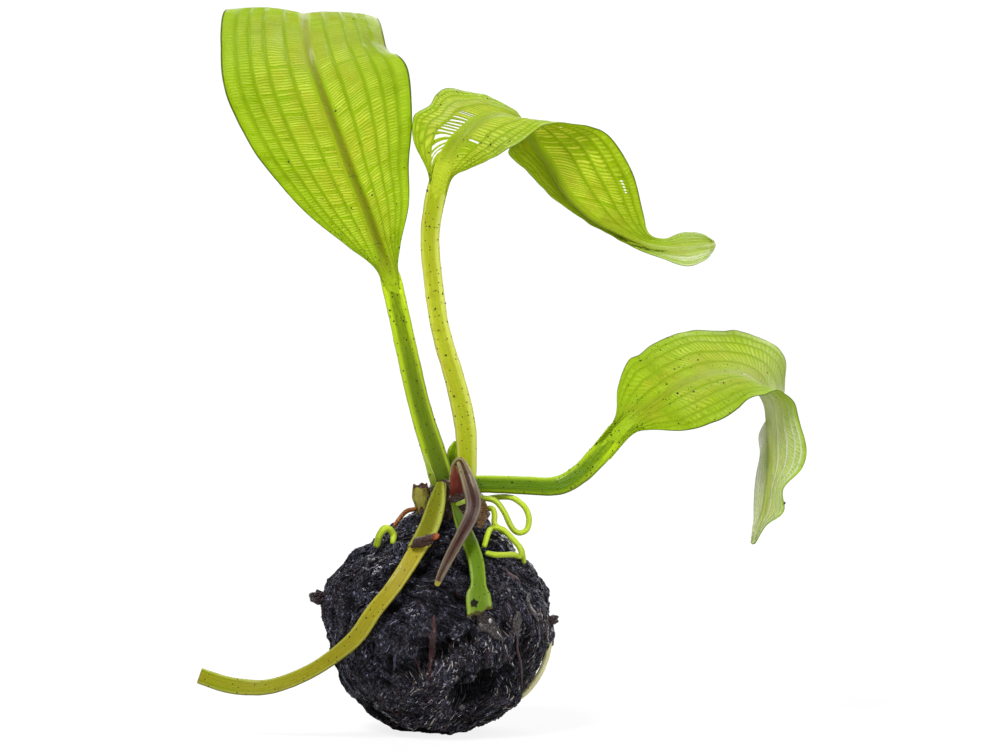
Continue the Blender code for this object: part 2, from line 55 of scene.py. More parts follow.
Indices = NDArray[np.int64]
Point = tuple[float, float, float]
Pair = tuple[float, float]
Series = tuple[float, ...]
Colour = tuple[float, float, float]

LOG = logging.getLogger("lace_plant")
MM = 0.001
POLES = np.array([[0.0, 0.0, 1.0], [0.0, 0.0, -1.0]])
# Rows of a leaf's grid to each of its ribs, and the rings and sides of a grain of dirt.
RIB_ROWS = 4
GRAIN_RINGS, GRAIN_SIDES = 2, 5
GRAIN_POINTS = GRAIN_RINGS * GRAIN_SIDES + 2


class Pattern(IntEnum):
    """The seed of each fixed pattern of chance."""

    WOBBLE = 17
    TEAR = 19
    STREAKS = 22
    WRINKLES = 23
    CRACKS = 24
    RIDGES = 25
    CLODS = 26
    CRUMBS = 28
    FLOW = 37
    FINE_FLOW = 47
    TUBER = 57
    TUBER_FIBRE = 58
    BARK = 67
    LOOSE_CRUMBS = 107
    FIBRES = 117


def linear_light(colour: Colour) -> Colour:
    """A screen colour of 0 to 255 a channel as linear light."""
    share = np.array(colour) / 255
    linear = np.where(share <= 0.04045, share / 12.92, ((share + 0.055) / 1.055) ** 2.4)
    return tuple(linear.tolist())


def unit(vectors: Array) -> Array:
    """The same vectors at length one."""
    return vectors / np.maximum(np.linalg.norm(vectors, axis=-1, keepdims=True), 1e-9)


def smooth_step(values: Array, low: float, high: float) -> Array:
    """0 below low and 1 above high, eased between them as 3x^2 - 2x^3."""
    share = np.clip((values - low) / (high - low), 0, 1)
    return share * share * (3 - 2 * share)


def curve_at(points: Array, at: Array) -> Array:
    """A Catmull-Rom curve through control points.

    Each span between two controls is the cubic that leaves one and reaches the other along the
    chord of its neighbours.

    Args:
        points: The control points, one to a row.
        at: Shares from 0 to 1 of the number of spans, in an array of any shape.

    Returns:
        The curve's values, in the shape of at with the shape of one control after it.
    """
    padded = np.concatenate([[2 * points[0] - points[1]], points, [2 * points[-1] - points[-2]]])
    spans = np.clip(at, 0, 1) * (len(points) - 1)
    first = np.minimum(spans.astype(int), len(points) - 2)
    u = (spans - first).reshape(at.shape + (1,) * (points.ndim - 1))
    p0, p1, p2, p3 = (padded[first + k] for k in range(4))
    return 0.5 * (
        2 * p1
        + (p2 - p0) * u
        + (2 * p0 - 5 * p1 + 4 * p2 - p3) * u**2
        + (3 * p1 - p0 - 3 * p2 + p3) * u**3
    )


def values_along(values: Series, at: Array) -> Array:
    """The smooth curve through evenly spaced values, read at shares from 0 to 1."""
    return curve_at(np.array(values, float)[:, None], at)[..., 0]


def lattice_value(cells: Indices, seed: int) -> Array:
    """A fixed value of -1 to 1 for each whole-number cell, its coordinates hashed with the seed."""
    key = cells @ np.array([73856093, 19349663, 83492791]) + seed * 2654435761
    key = (key ^ (key >> 13)) * 1274126177
    key = key ^ (key >> 16)
    return (key & 0xFFFFFF) / 0x7FFFFF - 1.0


def rolling(points: Array, pitch: float, seed: int) -> Array:
    """Smooth noise of -1 to 1: values on a cubic lattice of this pitch, eased between its corners.

    Args:
        points: Places, three coordinates to each.
        pitch: Distance between lattice corners, in the units of the points.
        seed: Which of the fixed patterns to read.

    Returns:
        One value for each point.
    """
    scaled = points / pitch
    cell = np.floor(scaled).astype(np.int64)
    part = scaled - cell
    blend = part * part * (3 - 2 * part)
    total = np.zeros(points.shape[:-1])
    for corner in product((0, 1), repeat=3):
        offset = np.array(corner)
        weight = np.prod(np.where(offset, blend, 1 - blend), axis=-1)
        total += weight * lattice_value(cell + offset, seed)
    return total


def rolling_vectors(points: Array, pitch: float, seed: int) -> Array:
    """Three patterns of the rolling noise at once, as a vector at each point."""
    return np.stack([rolling(points, pitch, seed + k) for k in range(3)], axis=-1)


def grid_quads(rows: int, columns: int, wrap: bool = False) -> Indices:
    """Four-sided faces over a grid of points stored row by row, closed round its columns if wrap."""
    i, j = np.meshgrid(np.arange(rows - 1), np.arange(columns if wrap else columns - 1))
    right = (j + 1) % columns
    corners = (i * columns + j, i * columns + right, (i + 1) * columns + right, (i + 1) * columns + j)
    return np.stack([c.ravel() for c in corners], axis=1)


def tube_faces(rows: int, columns: int, count: int = 1) -> tuple[Indices, Indices]:
    """The faces of closed tubes, each stored ring by ring with its two end points after that.

    Args:
        rows: How many rings a tube has.
        columns: How many points a ring has.
        count: How many tubes are stored one after the other.

    Returns:
        The squares between the rings, and the triangles from each end point to its ring.
    """
    ring = np.arange(columns)
    beside = np.roll(ring, -1)
    each = rows * columns
    last = each - columns
    first_fan = np.stack([np.full(columns, each), beside, ring], axis=1)
    last_fan = np.stack([np.full(columns, each + 1), ring + last, beside + last], axis=1)
    firsts = (np.arange(count) * (each + 2))[:, None, None]
    quads = grid_quads(rows, columns, wrap=True) + firsts
    triangles = np.concatenate([first_fan, last_fan]) + firsts
    return quads.reshape(-1, 4), triangles.reshape(-1, 3)


def placed(name: str, data: bpy.types.ID) -> bpy.types.Object:
    """A new object of this data, linked to the scene."""
    made = bpy.data.objects.new(name, data)
    bpy.context.scene.collection.objects.link(made)
    return made


@dataclass
class Shape:
    """A closed mesh in millimetres, and three values carried by each point under each name."""

    points: Array
    quads: Indices
    triangles: Indices
    carried: dict[str, Array] = field(default_factory=dict)

    def turned_outwards(self) -> "Shape":
        """The same shape with its faces turned round if its signed volume is below nothing."""
        corners = np.concatenate([self.quads[:, [0, 1, 2]], self.quads[:, [0, 2, 3]], self.triangles])
        a, b, c = (self.points[corners[:, k]] for k in range(3))
        if np.einsum("ij,ij->", a, np.cross(b, c)) < 0:
            self.quads = self.quads[:, ::-1]
            self.triangles = self.triangles[:, ::-1]
        return self

    def piece(
        self, name: str, material: bpy.types.Material, slot: str, nodes: tuple[str, ...] = ()
    ) -> None:
        """Makes the shape a piece of the plant, at the origin and with its place in its mesh.

        Args:
            name: The piece's name.
            material: What it is made of.
            slot: The record's material slot that its finish belongs to; not used.
            nodes: The solids that it stands for.
        """
        mesh = bpy.data.meshes.new(name)
        corners = np.concatenate([self.quads.ravel(), self.triangles.ravel()]).astype(np.int32)
        sizes = np.repeat([4, 3], [len(self.quads), len(self.triangles)]).astype(np.int32)
        mesh.vertices.add(len(self.points))
        mesh.vertices.foreach_set("co", (self.points * MM).astype(np.float32).ravel())
        mesh.loops.add(len(corners))
        mesh.loops.foreach_set("vertex_index", corners)
        mesh.polygons.add(len(sizes))
        mesh.polygons.foreach_set("loop_start", (np.cumsum(sizes) - sizes).astype(np.int32))
        mesh.update(calc_edges=True)
        mesh.validate()
        mesh.shade_smooth()
        for key, values in self.carried.items():
            layer = mesh.attributes.new(key, "FLOAT_VECTOR", "POINT")
            layer.data.foreach_set("vector", values.astype(np.float32).ravel())
        mesh.materials.append(material)
        made = placed(name, mesh)
        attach(made, "root")
        if nodes:
            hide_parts(*nodes)
        LOG.info("%s: %d triangles", name, 2 * len(self.quads) + len(self.triangles))


def closed_rings(rings: Array, first: Array, last: Array, carried: Array) -> Shape:
    """A closed surface over rings of points, with a fan of triangles to a point at either end.

    Args:
        rings: The rings, as rows of points.
        first: The point that closes the first ring.
        last: The point that closes the last ring.
        carried: Where each ring point lies: across, along and towards the face.

    Returns:
        The shape, facing outwards. The two end points carry the mean of their rings.
    """
    points = np.concatenate([rings.reshape(-1, 3), [first, last]])
    ends = [carried[0].mean(axis=0), carried[-1].mean(axis=0)]
    lie = np.concatenate([carried.reshape(-1, 3), ends])
    return Shape(points, *tube_faces(*rings.shape[:2]), {"lie": lie}).turned_outwards()


class Wire:
    """An output of a material's nodes, whose arithmetic adds Math nodes."""

    def __init__(self, board: "Board", socket: bpy.types.NodeSocket) -> None:
        """Keeps the board and the socket."""
        self.board = board
        self.socket = socket

    def __add__(self, other: "Wire | float") -> "Wire":
        """The sum."""
        return self.board.maths("ADD", self, other)

    __radd__ = __add__

    def __sub__(self, other: "Wire | float") -> "Wire":
        """What is left of this after the other."""
        return self.board.maths("SUBTRACT", self, other)

    def __rsub__(self, other: float) -> "Wire":
        """What is left of the other after this."""
        return self.board.maths("SUBTRACT", other, self)

    def __mul__(self, other: "Wire | float") -> "Wire":
        """The product."""
        return self.board.maths("MULTIPLY", self, other)

    __rmul__ = __mul__

    def size(self) -> "Wire":
        """The value without its sign."""
        return self.board.maths("ABSOLUTE", self)

    def band(self, low: float, high: float) -> "Wire":
        """0 at low and 1 at high, eased between them and held beyond them."""
        settings = {"interpolation_type": "SMOOTHSTEP"}
        sockets = {"Value": self, "From Min": low, "From Max": high}
        return self.board.add("ShaderNodeMapRange", settings, sockets)


Value = Wire | float | Point


class Board:
    """The nodes of one material."""

    def __init__(self, name: str) -> None:
        """Starts a material of this name with no nodes."""
        self.material = bpy.data.materials.new(name)
        self.material.use_nodes = True
        self.nodes = self.material.node_tree.nodes
        self.links = self.material.node_tree.links
        self.nodes.clear()

    def add(
        self,
        kind: str,
        settings: dict[str, str] | None = None,
        sockets: dict[str | int, Value] | None = None,
        out: str | int = 0,
    ) -> Wire:
        """Adds a node.

        Args:
            kind: The node's type.
            settings: Its properties, which are set first.
            sockets: A value or a wire for each input that isn't left as it is.
            out: Which output the wire takes.

        Returns:
            The wire from that output.
        """
        node = self.nodes.new(kind)
        for key, value in (settings or {}).items():
            setattr(node, key, value)
        for key, value in (sockets or {}).items():
            if isinstance(value, Wire):
                self.links.new(value.socket, node.inputs[key])
            elif node.inputs[key].type == "RGBA":
                node.inputs[key].default_value = (*linear_light(value), 1.0)
            else:
                node.inputs[key].default_value = value
        return Wire(self, node.outputs[out])

    def maths(self, operation: str, *values: Wire | float) -> Wire:
        """A Math node on one or more values."""
        return self.add("ShaderNodeMath", {"operation": operation}, dict(enumerate(values)))

    def mix(self, share: Wire | float, first: Wire | Colour, second: Wire | Colour) -> Wire:
        """The first colour where the share is 0, the second where it is 1."""
        settings = {"data_type": "RGBA"}
        return self.add("ShaderNodeMix", settings, {0: share, 6: first, 7: second}, out=2)

    def carried(self, name: str) -> tuple[Wire, Wire, Wire]:
        """The three values that the points carry under this name."""
        vector = self.add("ShaderNodeAttribute", {"attribute_name": name}, out="Vector")
        return tuple(self.add("ShaderNodeSeparateXYZ", {}, {0: vector}, out=k) for k in range(3))

    def place(self) -> Wire:
        """The point's place on the object, in metres."""
        return self.add("ShaderNodeTexCoord", out="Object")

    def noise(
        self, size: float, detail: float = 2.0, roughness: float = 0.5, turn: Point = (0, 0, 0)
    ) -> Wire:
        """Noise of about 0.3 to 0.7 with features of this size in millimetres."""
        where = self.add("ShaderNodeMapping", {}, {"Vector": self.place(), "Location": turn})
        sockets = {"Vector": where, "Scale": 1 / (size * MM), "Detail": detail, "Roughness": roughness}
        return self.add("ShaderNodeTexNoise", {}, sockets)

    def specks(self, pitch: float, radius: float, share: float) -> Wire:
        """1 on small round specks: of cells of this pitch, this share holds one, in millimetres."""
        sockets = {"Vector": self.place(), "Scale": 1 / (pitch * MM)}
        apart = self.add("ShaderNodeTexVoronoi", {}, sockets, out="Distance")
        chance = self.add("ShaderNodeTexVoronoi", {}, sockets, out="Color")
        chance = self.add("ShaderNodeSeparateColor", {}, {0: chance})
        return apart.band(radius / pitch, 0.75 * radius / pitch) * chance.band(share + 0.02, share)

    def near(self, spot: Point, reach: float) -> Wire:
        """1 at a spot and 0 beyond this reach from it, both in millimetres."""
        where = tuple(value * MM for value in spot)
        sockets = {0: self.place(), 1: where}
        apart = self.add("ShaderNodeVectorMath", {"operation": "DISTANCE"}, sockets, out="Value")
        return apart.band(reach * MM, 0.3 * reach * MM)

    def lengthwise(self, across: Wire, along: Wire, front: Wire) -> Wire:
        """Noise drawn out along a strand, whose grain is fine round it."""
        sockets = {0: 4.0 * across, 1: 5.0 * along, 2: 4.0 * front}
        where = self.add("ShaderNodeCombineXYZ", {}, sockets)
        return self.add("ShaderNodeTexNoise", {}, {"Vector": where, "Scale": 1.6, "Detail": 4.0})

    def bump(self, height: Wire, depth: float, strength: float = 0.6) -> Wire:
        """A normal for a relief of this depth in millimetres."""
        sockets = {"Height": height, "Distance": depth * MM, "Strength": strength}
        return self.add("ShaderNodeBump", {}, sockets)

    def skin(self, sockets: dict[str, Value]) -> Wire:
        """A Principled shader."""
        return self.add("ShaderNodeBsdfPrincipled", {}, sockets)

    def through(self, colour: Colour) -> Wire:
        """Light that passes a thin skin and takes on this colour."""
        return self.add("ShaderNodeBsdfTranslucent", {}, {"Color": colour})

    def blend(self, share: Wire | float, first: Wire, second: Wire) -> Wire:
        """The first shader where the share is 0, the second where it is 1."""
        return self.add("ShaderNodeMixShader", {}, {0: share, 1: first, 2: second})

    def done(self, shader: Wire) -> bpy.types.Material:
        """Wires the shader to the output and gives the material."""
        output = self.nodes.new("ShaderNodeOutputMaterial")
        self.links.new(shader.socket, output.inputs["Surface"])
        return self.material


@dataclass(frozen=True)
class LeafFinish:
    """Wet leaf skin, thin enough for light to pass: green ribs round brighter film."""

    name: str
    body: Colour = (176, 212, 6)
    cell: Colour = (240, 255, 96)
    vein: Colour = (160, 192, 2)
    midrib: Colour = (122, 128, 0)
    foot: Colour = (156, 184, 8)
    warm: Colour = (200, 188, 40)
    rim: Colour = (70, 80, 20)
    # Painted highlight: a pale glare colour, which is also the real paleness of the tip.
    painted_glare_and_pale: Colour = (222, 230, 184)
    pale_vein: Colour = (250, 252, 240)
    speck: Colour = (34, 34, 14)
    body_light: Colour = (195, 217, 8)
    cell_light: Colour = (252, 248, 112)
    midrib_light: Colour = (150, 166, 0)
    warm_share: float = 0.3
    share_through: float = 0.45
    pale_from: float = 2.0
    nicks: Series = ()

    def _dots(self, board: Board, across: Wire, along: Wire, dirty: Wire) -> Wire:
        """1 on specks of dirt, and somewhat less on each nick."""
        dots = board.specks(0.8, 0.17, 0.42) * dirty + board.specks(2.1, 0.28, 0.2) * dirty
        for nick in self.nicks:
            apart = (along + 0.05 * across.size() - nick).size()
            dots = dots + 0.55 * apart.band(0.0015, 0.0005) * across.size().band(0.09, 0.05)
        return board.maths("MINIMUM", dots, 1.0)

    def material(self) -> bpy.types.Material:
        """The leaf material, which reads the lace and the place in the leaf that the points carry.

        Its veins turn pale past pale_from, and each nick is a thin dark line over the midrib.
        Glare is painted in as a pale highlight colour, mixed with the real paleness of the tip, and
        the painted glare also tints the light that passes through the leaf.
        """
        board = Board(self.name)
        cell, vein, midrib = board.carried("lace")
        across, along, _ = board.carried("lie")
        painted_glare_and_pale, foot, dirty = board.carried("film")
        cloud = board.noise(5.0, 3.0)
        mottle = board.noise(1.3, 3.0, turn=(2, 6, 1))
        grain = board.noise(0.4, 3.0, turn=(3, 1, 2))
        colour = board.mix(cell * mottle.band(0.15, 0.45), self.body, self.cell)
        warm = across.size().band(0.85, 0.3) * cloud.band(0.42, 0.62)
        colour = board.mix(warm * self.warm_share, colour, self.warm)
        faded = along.band(self.pale_from, self.pale_from + 0.12)
        veined = board.mix(faded, self.vein, self.pale_vein)
        colour = board.mix(vein * (0.7 + 0.5 * mottle), colour, veined)
        colour = board.mix(midrib * (0.75 + 0.4 * grain), colour, self.midrib)
        colour = board.mix(foot, colour, self.foot)
        colour = board.mix(grain.band(0.5, 0.75) * 0.4, colour, self.vein)
        # Painted highlight: the pale glare colour laid over the blade, with the veins drawn through it.
        pale = board.mix(0.95 * vein, self.painted_glare_and_pale, veined)
        colour = board.mix(painted_glare_and_pale * mottle.band(0.1, 0.5), colour, pale)
        rim = across.size().band(0.972, 0.99)
        colour = board.mix(rim * cloud.band(0.25, 0.45) * 0.9, colour, self.rim)
        dots = self._dots(board, across, along, dirty)
        colour = board.mix(dots, colour, self.speck)
        light = board.blend(cell, board.through(self.body_light), board.through(self.cell_light))
        dim = board.maths("MAXIMUM", board.maths("MAXIMUM", midrib, 0.5 * vein), rim)
        light = board.blend(dim * (1.0 - faded), light, board.through(self.midrib_light))
        # Painted highlight in the passing light too, where the glare is painted.
        light = board.blend(painted_glare_and_pale, light, board.through(self.pale_vein))
        light = board.blend(dots, light, board.through(self.speck))
        sockets = {
            "Base Color": colour,
            "Roughness": 0.25 + 0.3 * cloud,
            "Specular IOR Level": 0.18,
            "Coat Weight": 0.6 * painted_glare_and_pale,
            "Coat Roughness": 0.2,
            "Normal": board.bump(mottle + grain, 0.3, 0.8),
        }
        skin = board.skin(sockets)
        share = self.share_through * (1.0 - board.maths("MAXIMUM", foot, 0.6 * midrib))
        return board.done(board.blend(share, skin, light))


@dataclass(frozen=True)
class StalkFinish:
    """A fleshy stalk or root: one colour along its sides, another down its channel, pale rims.

    The highlight-side field is 1 or -1 where one of its edges carries a painted highlight in the
    rim colour, and painted shade darkens the sides where they turn away from the face.
    """

    name: str
    base: Colour
    middle: Colour
    tip: Colour
    channel: Colour
    rim: Colour
    end: Colour
    channel_half: float = 0.62
    # Which edge gets a painted highlight: 1, -1, or 0 for neither.
    painted_highlight_side: float = 0.0
    tip_at: float = 1.0
    stain: Point | None = None
    stain_reach: float = 1.2
    base_until: float = 0.0
    middle_at: float = 0.5
    channel_share: float = 0.7
    rim_share: float = 0.5
    end_from: float = 2.0
    blotch: Colour = (110, 120, 14)
    blotch_share: float = 0.3
    # Painted shade: darkens the stalk where its sides turn away from the face.
    side: Colour = (60, 66, 8)
    speck: Colour = (48, 40, 24)
    speck_share: float = 0.2
    glow: float = 0.15
    roughness: float = 0.32

    def material(self) -> bpy.types.Material:
        """The stalk material, which reads where across and along the stalk each point lies."""
        board = Board(self.name)
        across, along, front = board.carried("lie")
        cloud = board.noise(2.4, 3.0)
        streak = board.noise(0.7, 4.0, turn=(1, 5, 2))
        fine = board.lengthwise(across, along, front)
        colour = board.mix(along.band(self.base_until, self.middle_at), self.base, self.middle)
        colour = board.mix(along.band(self.middle_at, self.tip_at), colour, self.tip)
        colour = board.mix(cloud.band(0.5, 0.72) * self.blotch_share, colour, self.blotch)
        colour = board.mix(fine.band(0.48, 0.6) * 0.5, colour, self.blotch)
        facing = front.band(0.2, 0.6)
        # Painted highlight: the rim colour laid on one edge, as if lit from that side.
        colour = board.mix((self.painted_highlight_side * across).band(0.15, 0.8) * 0.55, colour, self.rim)
        hollow = across.size().band(self.channel_half, 0.55 * self.channel_half) * facing
        colour = board.mix(hollow * self.channel_share * (0.6 + 0.7 * streak), colour, self.channel)
        edge = across.size().band(0.62, 0.8) * across.size().band(1.0, 0.86) * front.band(0.0, 0.3)
        colour = board.mix(edge * self.rim_share, colour, self.rim)
        # Painted shade at the sides, where the surface turns away.
        colour = board.mix(front.size().band(0.3, 0.0) * 0.7, colour, self.side)
        colour = board.mix(along.band(self.end_from, self.end_from + 0.015), colour, self.end)
        speck = board.specks(1.7, 0.24, self.speck_share)
        speck = speck + board.specks(0.9, 0.17, 1.6 * self.speck_share)
        if self.stain:
            stain = board.near(self.stain, self.stain_reach) + 2.0 * (streak - 0.5)
            speck = speck + stain.band(0.4, 0.6)
        colour = board.mix(board.maths("MINIMUM", speck, 1.0), colour, self.speck)
        sockets = {
            "Base Color": colour,
            "Roughness": self.roughness + 0.3 * (cloud - 0.5),
            "Specular IOR Level": 0.1,
            "Coat Weight": 0.08,
            "Coat Roughness": 0.12,
            "Subsurface Weight": self.glow,
            "Subsurface Radius": (1.0, 1.3, 0.25),
            "Subsurface Scale": 1.6 * MM,
            "Normal": board.bump(streak + 1.5 * fine, 0.25, 0.6),
        }
        return board.done(board.skin(sockets))


@dataclass(frozen=True)
class EarthFinish:
    """Wet peat, bark or husk: dark fibre of mixed colours under a film of water."""

    name: str
    dark: Colour
    light: Colour
    warm: Colour
    warm_share: float = 0.3
    patch: float = 5.0
    roughness: float = 0.3
    wet: float = 0.6
    relief: float = 0.3
    shine: float = 0.35
    # Painted highlight: how strongly the pale glint lines are painted, and their colour.
    painted_glint_share: float = 0.0
    painted_glint_colour: Colour = (112, 110, 130)
    # Painted shade: whether the hollows are darkened, and in which colour.
    paints_hollow_shade: bool = False
    hollow_shade_colour: Colour = (2, 2, 4)
    tinge: Colour = (176, 84, 34)
    tinge_at: Point | None = None
    tinge_reach: float = 1.8

    def material(self) -> bpy.types.Material:
        """The earthy material, patched and grained by its place on the object.

        Its painted glints are pale lines along which a noise crosses its middle, which curl like wet
        fibre.
        Where hollows are shaded it paints shade by how deep each point is said to lie, and a tinge
        colours one spot.
        """
        board = Board(self.name)
        patch = board.noise(self.patch, 3.0)
        grain = board.noise(0.35, 4.0, 0.65, turn=(4, 2, 7))
        line = (board.noise(1.0, 3.0, 0.6, turn=(1, 9, 3)) - 0.5).size()
        colour = board.mix(grain.band(0.4, 0.68), self.dark, self.light)
        colour = board.mix(patch.band(0.5, 0.66) * self.warm_share, colour, self.warm)
        # Painted highlight: pale glint lines over the peat.
        colour = board.mix(line.band(0.04, 0.0) * self.painted_glint_share, colour, self.painted_glint_colour)
        coat = self.wet * patch.band(0.35, 0.65)
        if self.tinge_at:
            near = board.near(self.tinge_at, self.tinge_reach) * grain.band(0.3, 0.5)
            colour = board.mix(near, colour, self.tinge)
        # Painted shade in the hollows: darker towards this colour, with less coat.
        if self.paints_hollow_shade:
            deep, _, _ = board.carried("lie")
            colour = board.mix(0.95 * deep, colour, self.hollow_shade_colour)
            coat = coat * (1.0 - 0.9 * deep)
        sockets = {
            "Base Color": colour,
            "Roughness": self.roughness + 0.35 * (grain - 0.5),
            "Specular IOR Level": self.shine,
            "Coat Weight": coat,
            "Coat Roughness": 0.06,
            "Normal": board.bump(grain - 4.0 * line, self.relief, 0.9),
        }
        return board.done(board.skin(sockets))


@dataclass(frozen=True)
class FibreFinish:
    """Wet fibres of peat, each with a shade of its own."""

    name: str
    dark: Colour = (7, 7, 16)
    brown: Colour = (46, 24, 26)
    pale: Colour = (128, 128, 150)
    # Painted shade: the colour of fibres and crumbs that lie in hollows.
    deep: Colour = (3, 3, 6)
    brown_from: float = 0.62
    pale_from: float = 0.93

    def material(self) -> bpy.types.Material:
        """The fibre material, which reads two chance numbers and the depth that each fibre carries, and
        paints shade by that depth.
        """
        board = Board(self.name)
        first, second, depth = board.carried("lie")
        grain = board.noise(0.5, 3.0)
        colour = board.mix(first.band(self.brown_from, self.brown_from + 0.2), self.dark, self.brown)
        colour = board.mix(second.band(self.pale_from, self.pale_from + 0.08), colour, self.pale)
        colour = board.mix(grain.band(0.45, 0.7) * 0.4, colour, self.dark)
        # Painted shade, deeper in the hollows.
        colour = board.mix(0.9 * depth, colour, self.deep)
        sockets = {
            "Base Color": colour,
            "Roughness": 0.15 + 0.3 * grain + 0.5 * depth,
            "Specular IOR Level": 0.18,
            "Coat Weight": 0.3 * grain.band(0.5, 0.62) * (1.0 - depth),
            "Coat Roughness": 0.05,
            "Normal": board.bump(grain, 0.2, 0.8),
        }
        return board.done(board.skin(sockets))


Finish = LeafFinish | StalkFinish | EarthFinish | FibreFinish


@cache
def made_of(finish: Finish) -> bpy.types.Material:
    """The material of a finish, made once however many pieces have it."""
    return finish.material()


class End(Enum):
    """How a strand ends: rings of this scale, this many radii past its last one."""

    ROUND = ((0.92, 0.38), (0.71, 0.71), (0.38, 0.92), (0.0, 1.0))
    CUT = ((0.97, 0.06), (0.9, 0.1), (0.78, 0.04), (0.4, -0.06), (0.0, -0.1))
    POINT = ((0.8, 0.5), (0.6, 1.0), (0.35, 1.6), (0.12, 2.1), (0.0, 2.3))


@dataclass(frozen=True)
class Strand:
    """A stalk, root or furled leaf: a profile carried along a path.

    The profile is an ellipse whose face side is hollowed by the channel. Its sizes change
    smoothly along the path.
    """

    path: tuple[Point, ...]
    widths: Series
    depths: Series
    face: Point = (0.0, -1.0, 0.0)
    channel: float = 0.0
    channel_power: float = 4.0
    rings: int = 140
    sides: int = 40
    start: End = End.ROUND
    end: End = End.ROUND
    cut_slope: float = 0.0
    torn: float = 0.0
    wobble: float = 0.03
    wobble_pitch: float = 1.6
    slide_from: float = 0.8

    def shape(self) -> Shape:
        """The strand's closed surface.

        A ring point is path + sideways w/2 cos a + outwards d/2 (sin a - channel max(sin a, 0)^p),
        swollen a little by the rolling noise. Towards the far end the points also slide along the
        path, by slope w/2 cos a for a slanted cut and by rolling noise for a torn one.
        """
        at = np.linspace(0, 1, self.rings)
        path = curve_at(np.array(self.path), at)
        tangent = unit(np.gradient(path, axis=0))
        sideways = unit(np.cross(tangent, self.face))
        outwards = np.cross(sideways, tangent)
        half = np.stack([values_along(self.widths, at), values_along(self.depths, at)], axis=1) / 2
        turn = np.linspace(0, 2 * np.pi, self.sides, endpoint=False)
        front = np.clip(np.sin(turn), 0, 1)
        lift = np.sin(turn) - self.channel * front**self.channel_power
        plain = (
            sideways[:, None] * (np.cos(turn)[:, None] * half[:, None, :1])
            + outwards[:, None] * (lift[:, None] * half[:, None, 1:])
        )
        swell = self.wobble * rolling(path[:, None] + plain, self.wobble_pitch, Pattern.WOBBLE)
        tear = rolling(3.0 * np.stack([np.cos(turn), np.sin(turn), 0 * turn], axis=1), 1.0, Pattern.TEAR)
        slide = (self.cut_slope * np.cos(turn) + self.torn * tear) * half[-1, 0]
        slide = slide[None] * smooth_step(at, self.slide_from, 1.0)[:, None]
        body = plain * (1 + swell[..., None]) + tangent[:, None] * slide[..., None]
        head = self._end_rings(body[0], -tangent[0], half[0], self.start)[::-1]
        tail = self._end_rings(body[-1], tangent[-1], half[-1], self.end)
        rings = np.concatenate([path[0] + head[1:], path[:, None] + body, path[-1] + tail[:-1]])
        along = np.concatenate([np.zeros(len(head) - 1), at, np.ones(len(tail) - 1)])
        lie = np.stack(
            np.broadcast_arrays(np.cos(turn)[None], along[:, None], np.sin(turn)[None]), axis=-1
        )
        return closed_rings(rings, path[0] + head[0, 0], path[-1] + tail[-1, 0], lie)

    @staticmethod
    def _end_rings(ring: Array, ahead: Array, half: Array, end: End) -> Array:
        """The rings past a strand's end, each the last ring scaled and set ahead."""
        steps = np.array(end.value)
        return ring * steps[:, :1, None] + ahead * steps[:, 1:, None] * half.mean()


class Station(NamedTuple):
    """One section across a leaf blade: its left edge, its midrib and its right edge."""

    left: Point
    mid: Point
    right: Point


class Slits(NamedTuple):
    """Open windows: on side -1 or 1, in this row of windows, over this stretch of the blade.

    A narrow one opens only the middle third of a window.
    """

    side: int
    interval: int
    start: float
    end: float
    share: float
    narrow: bool = False


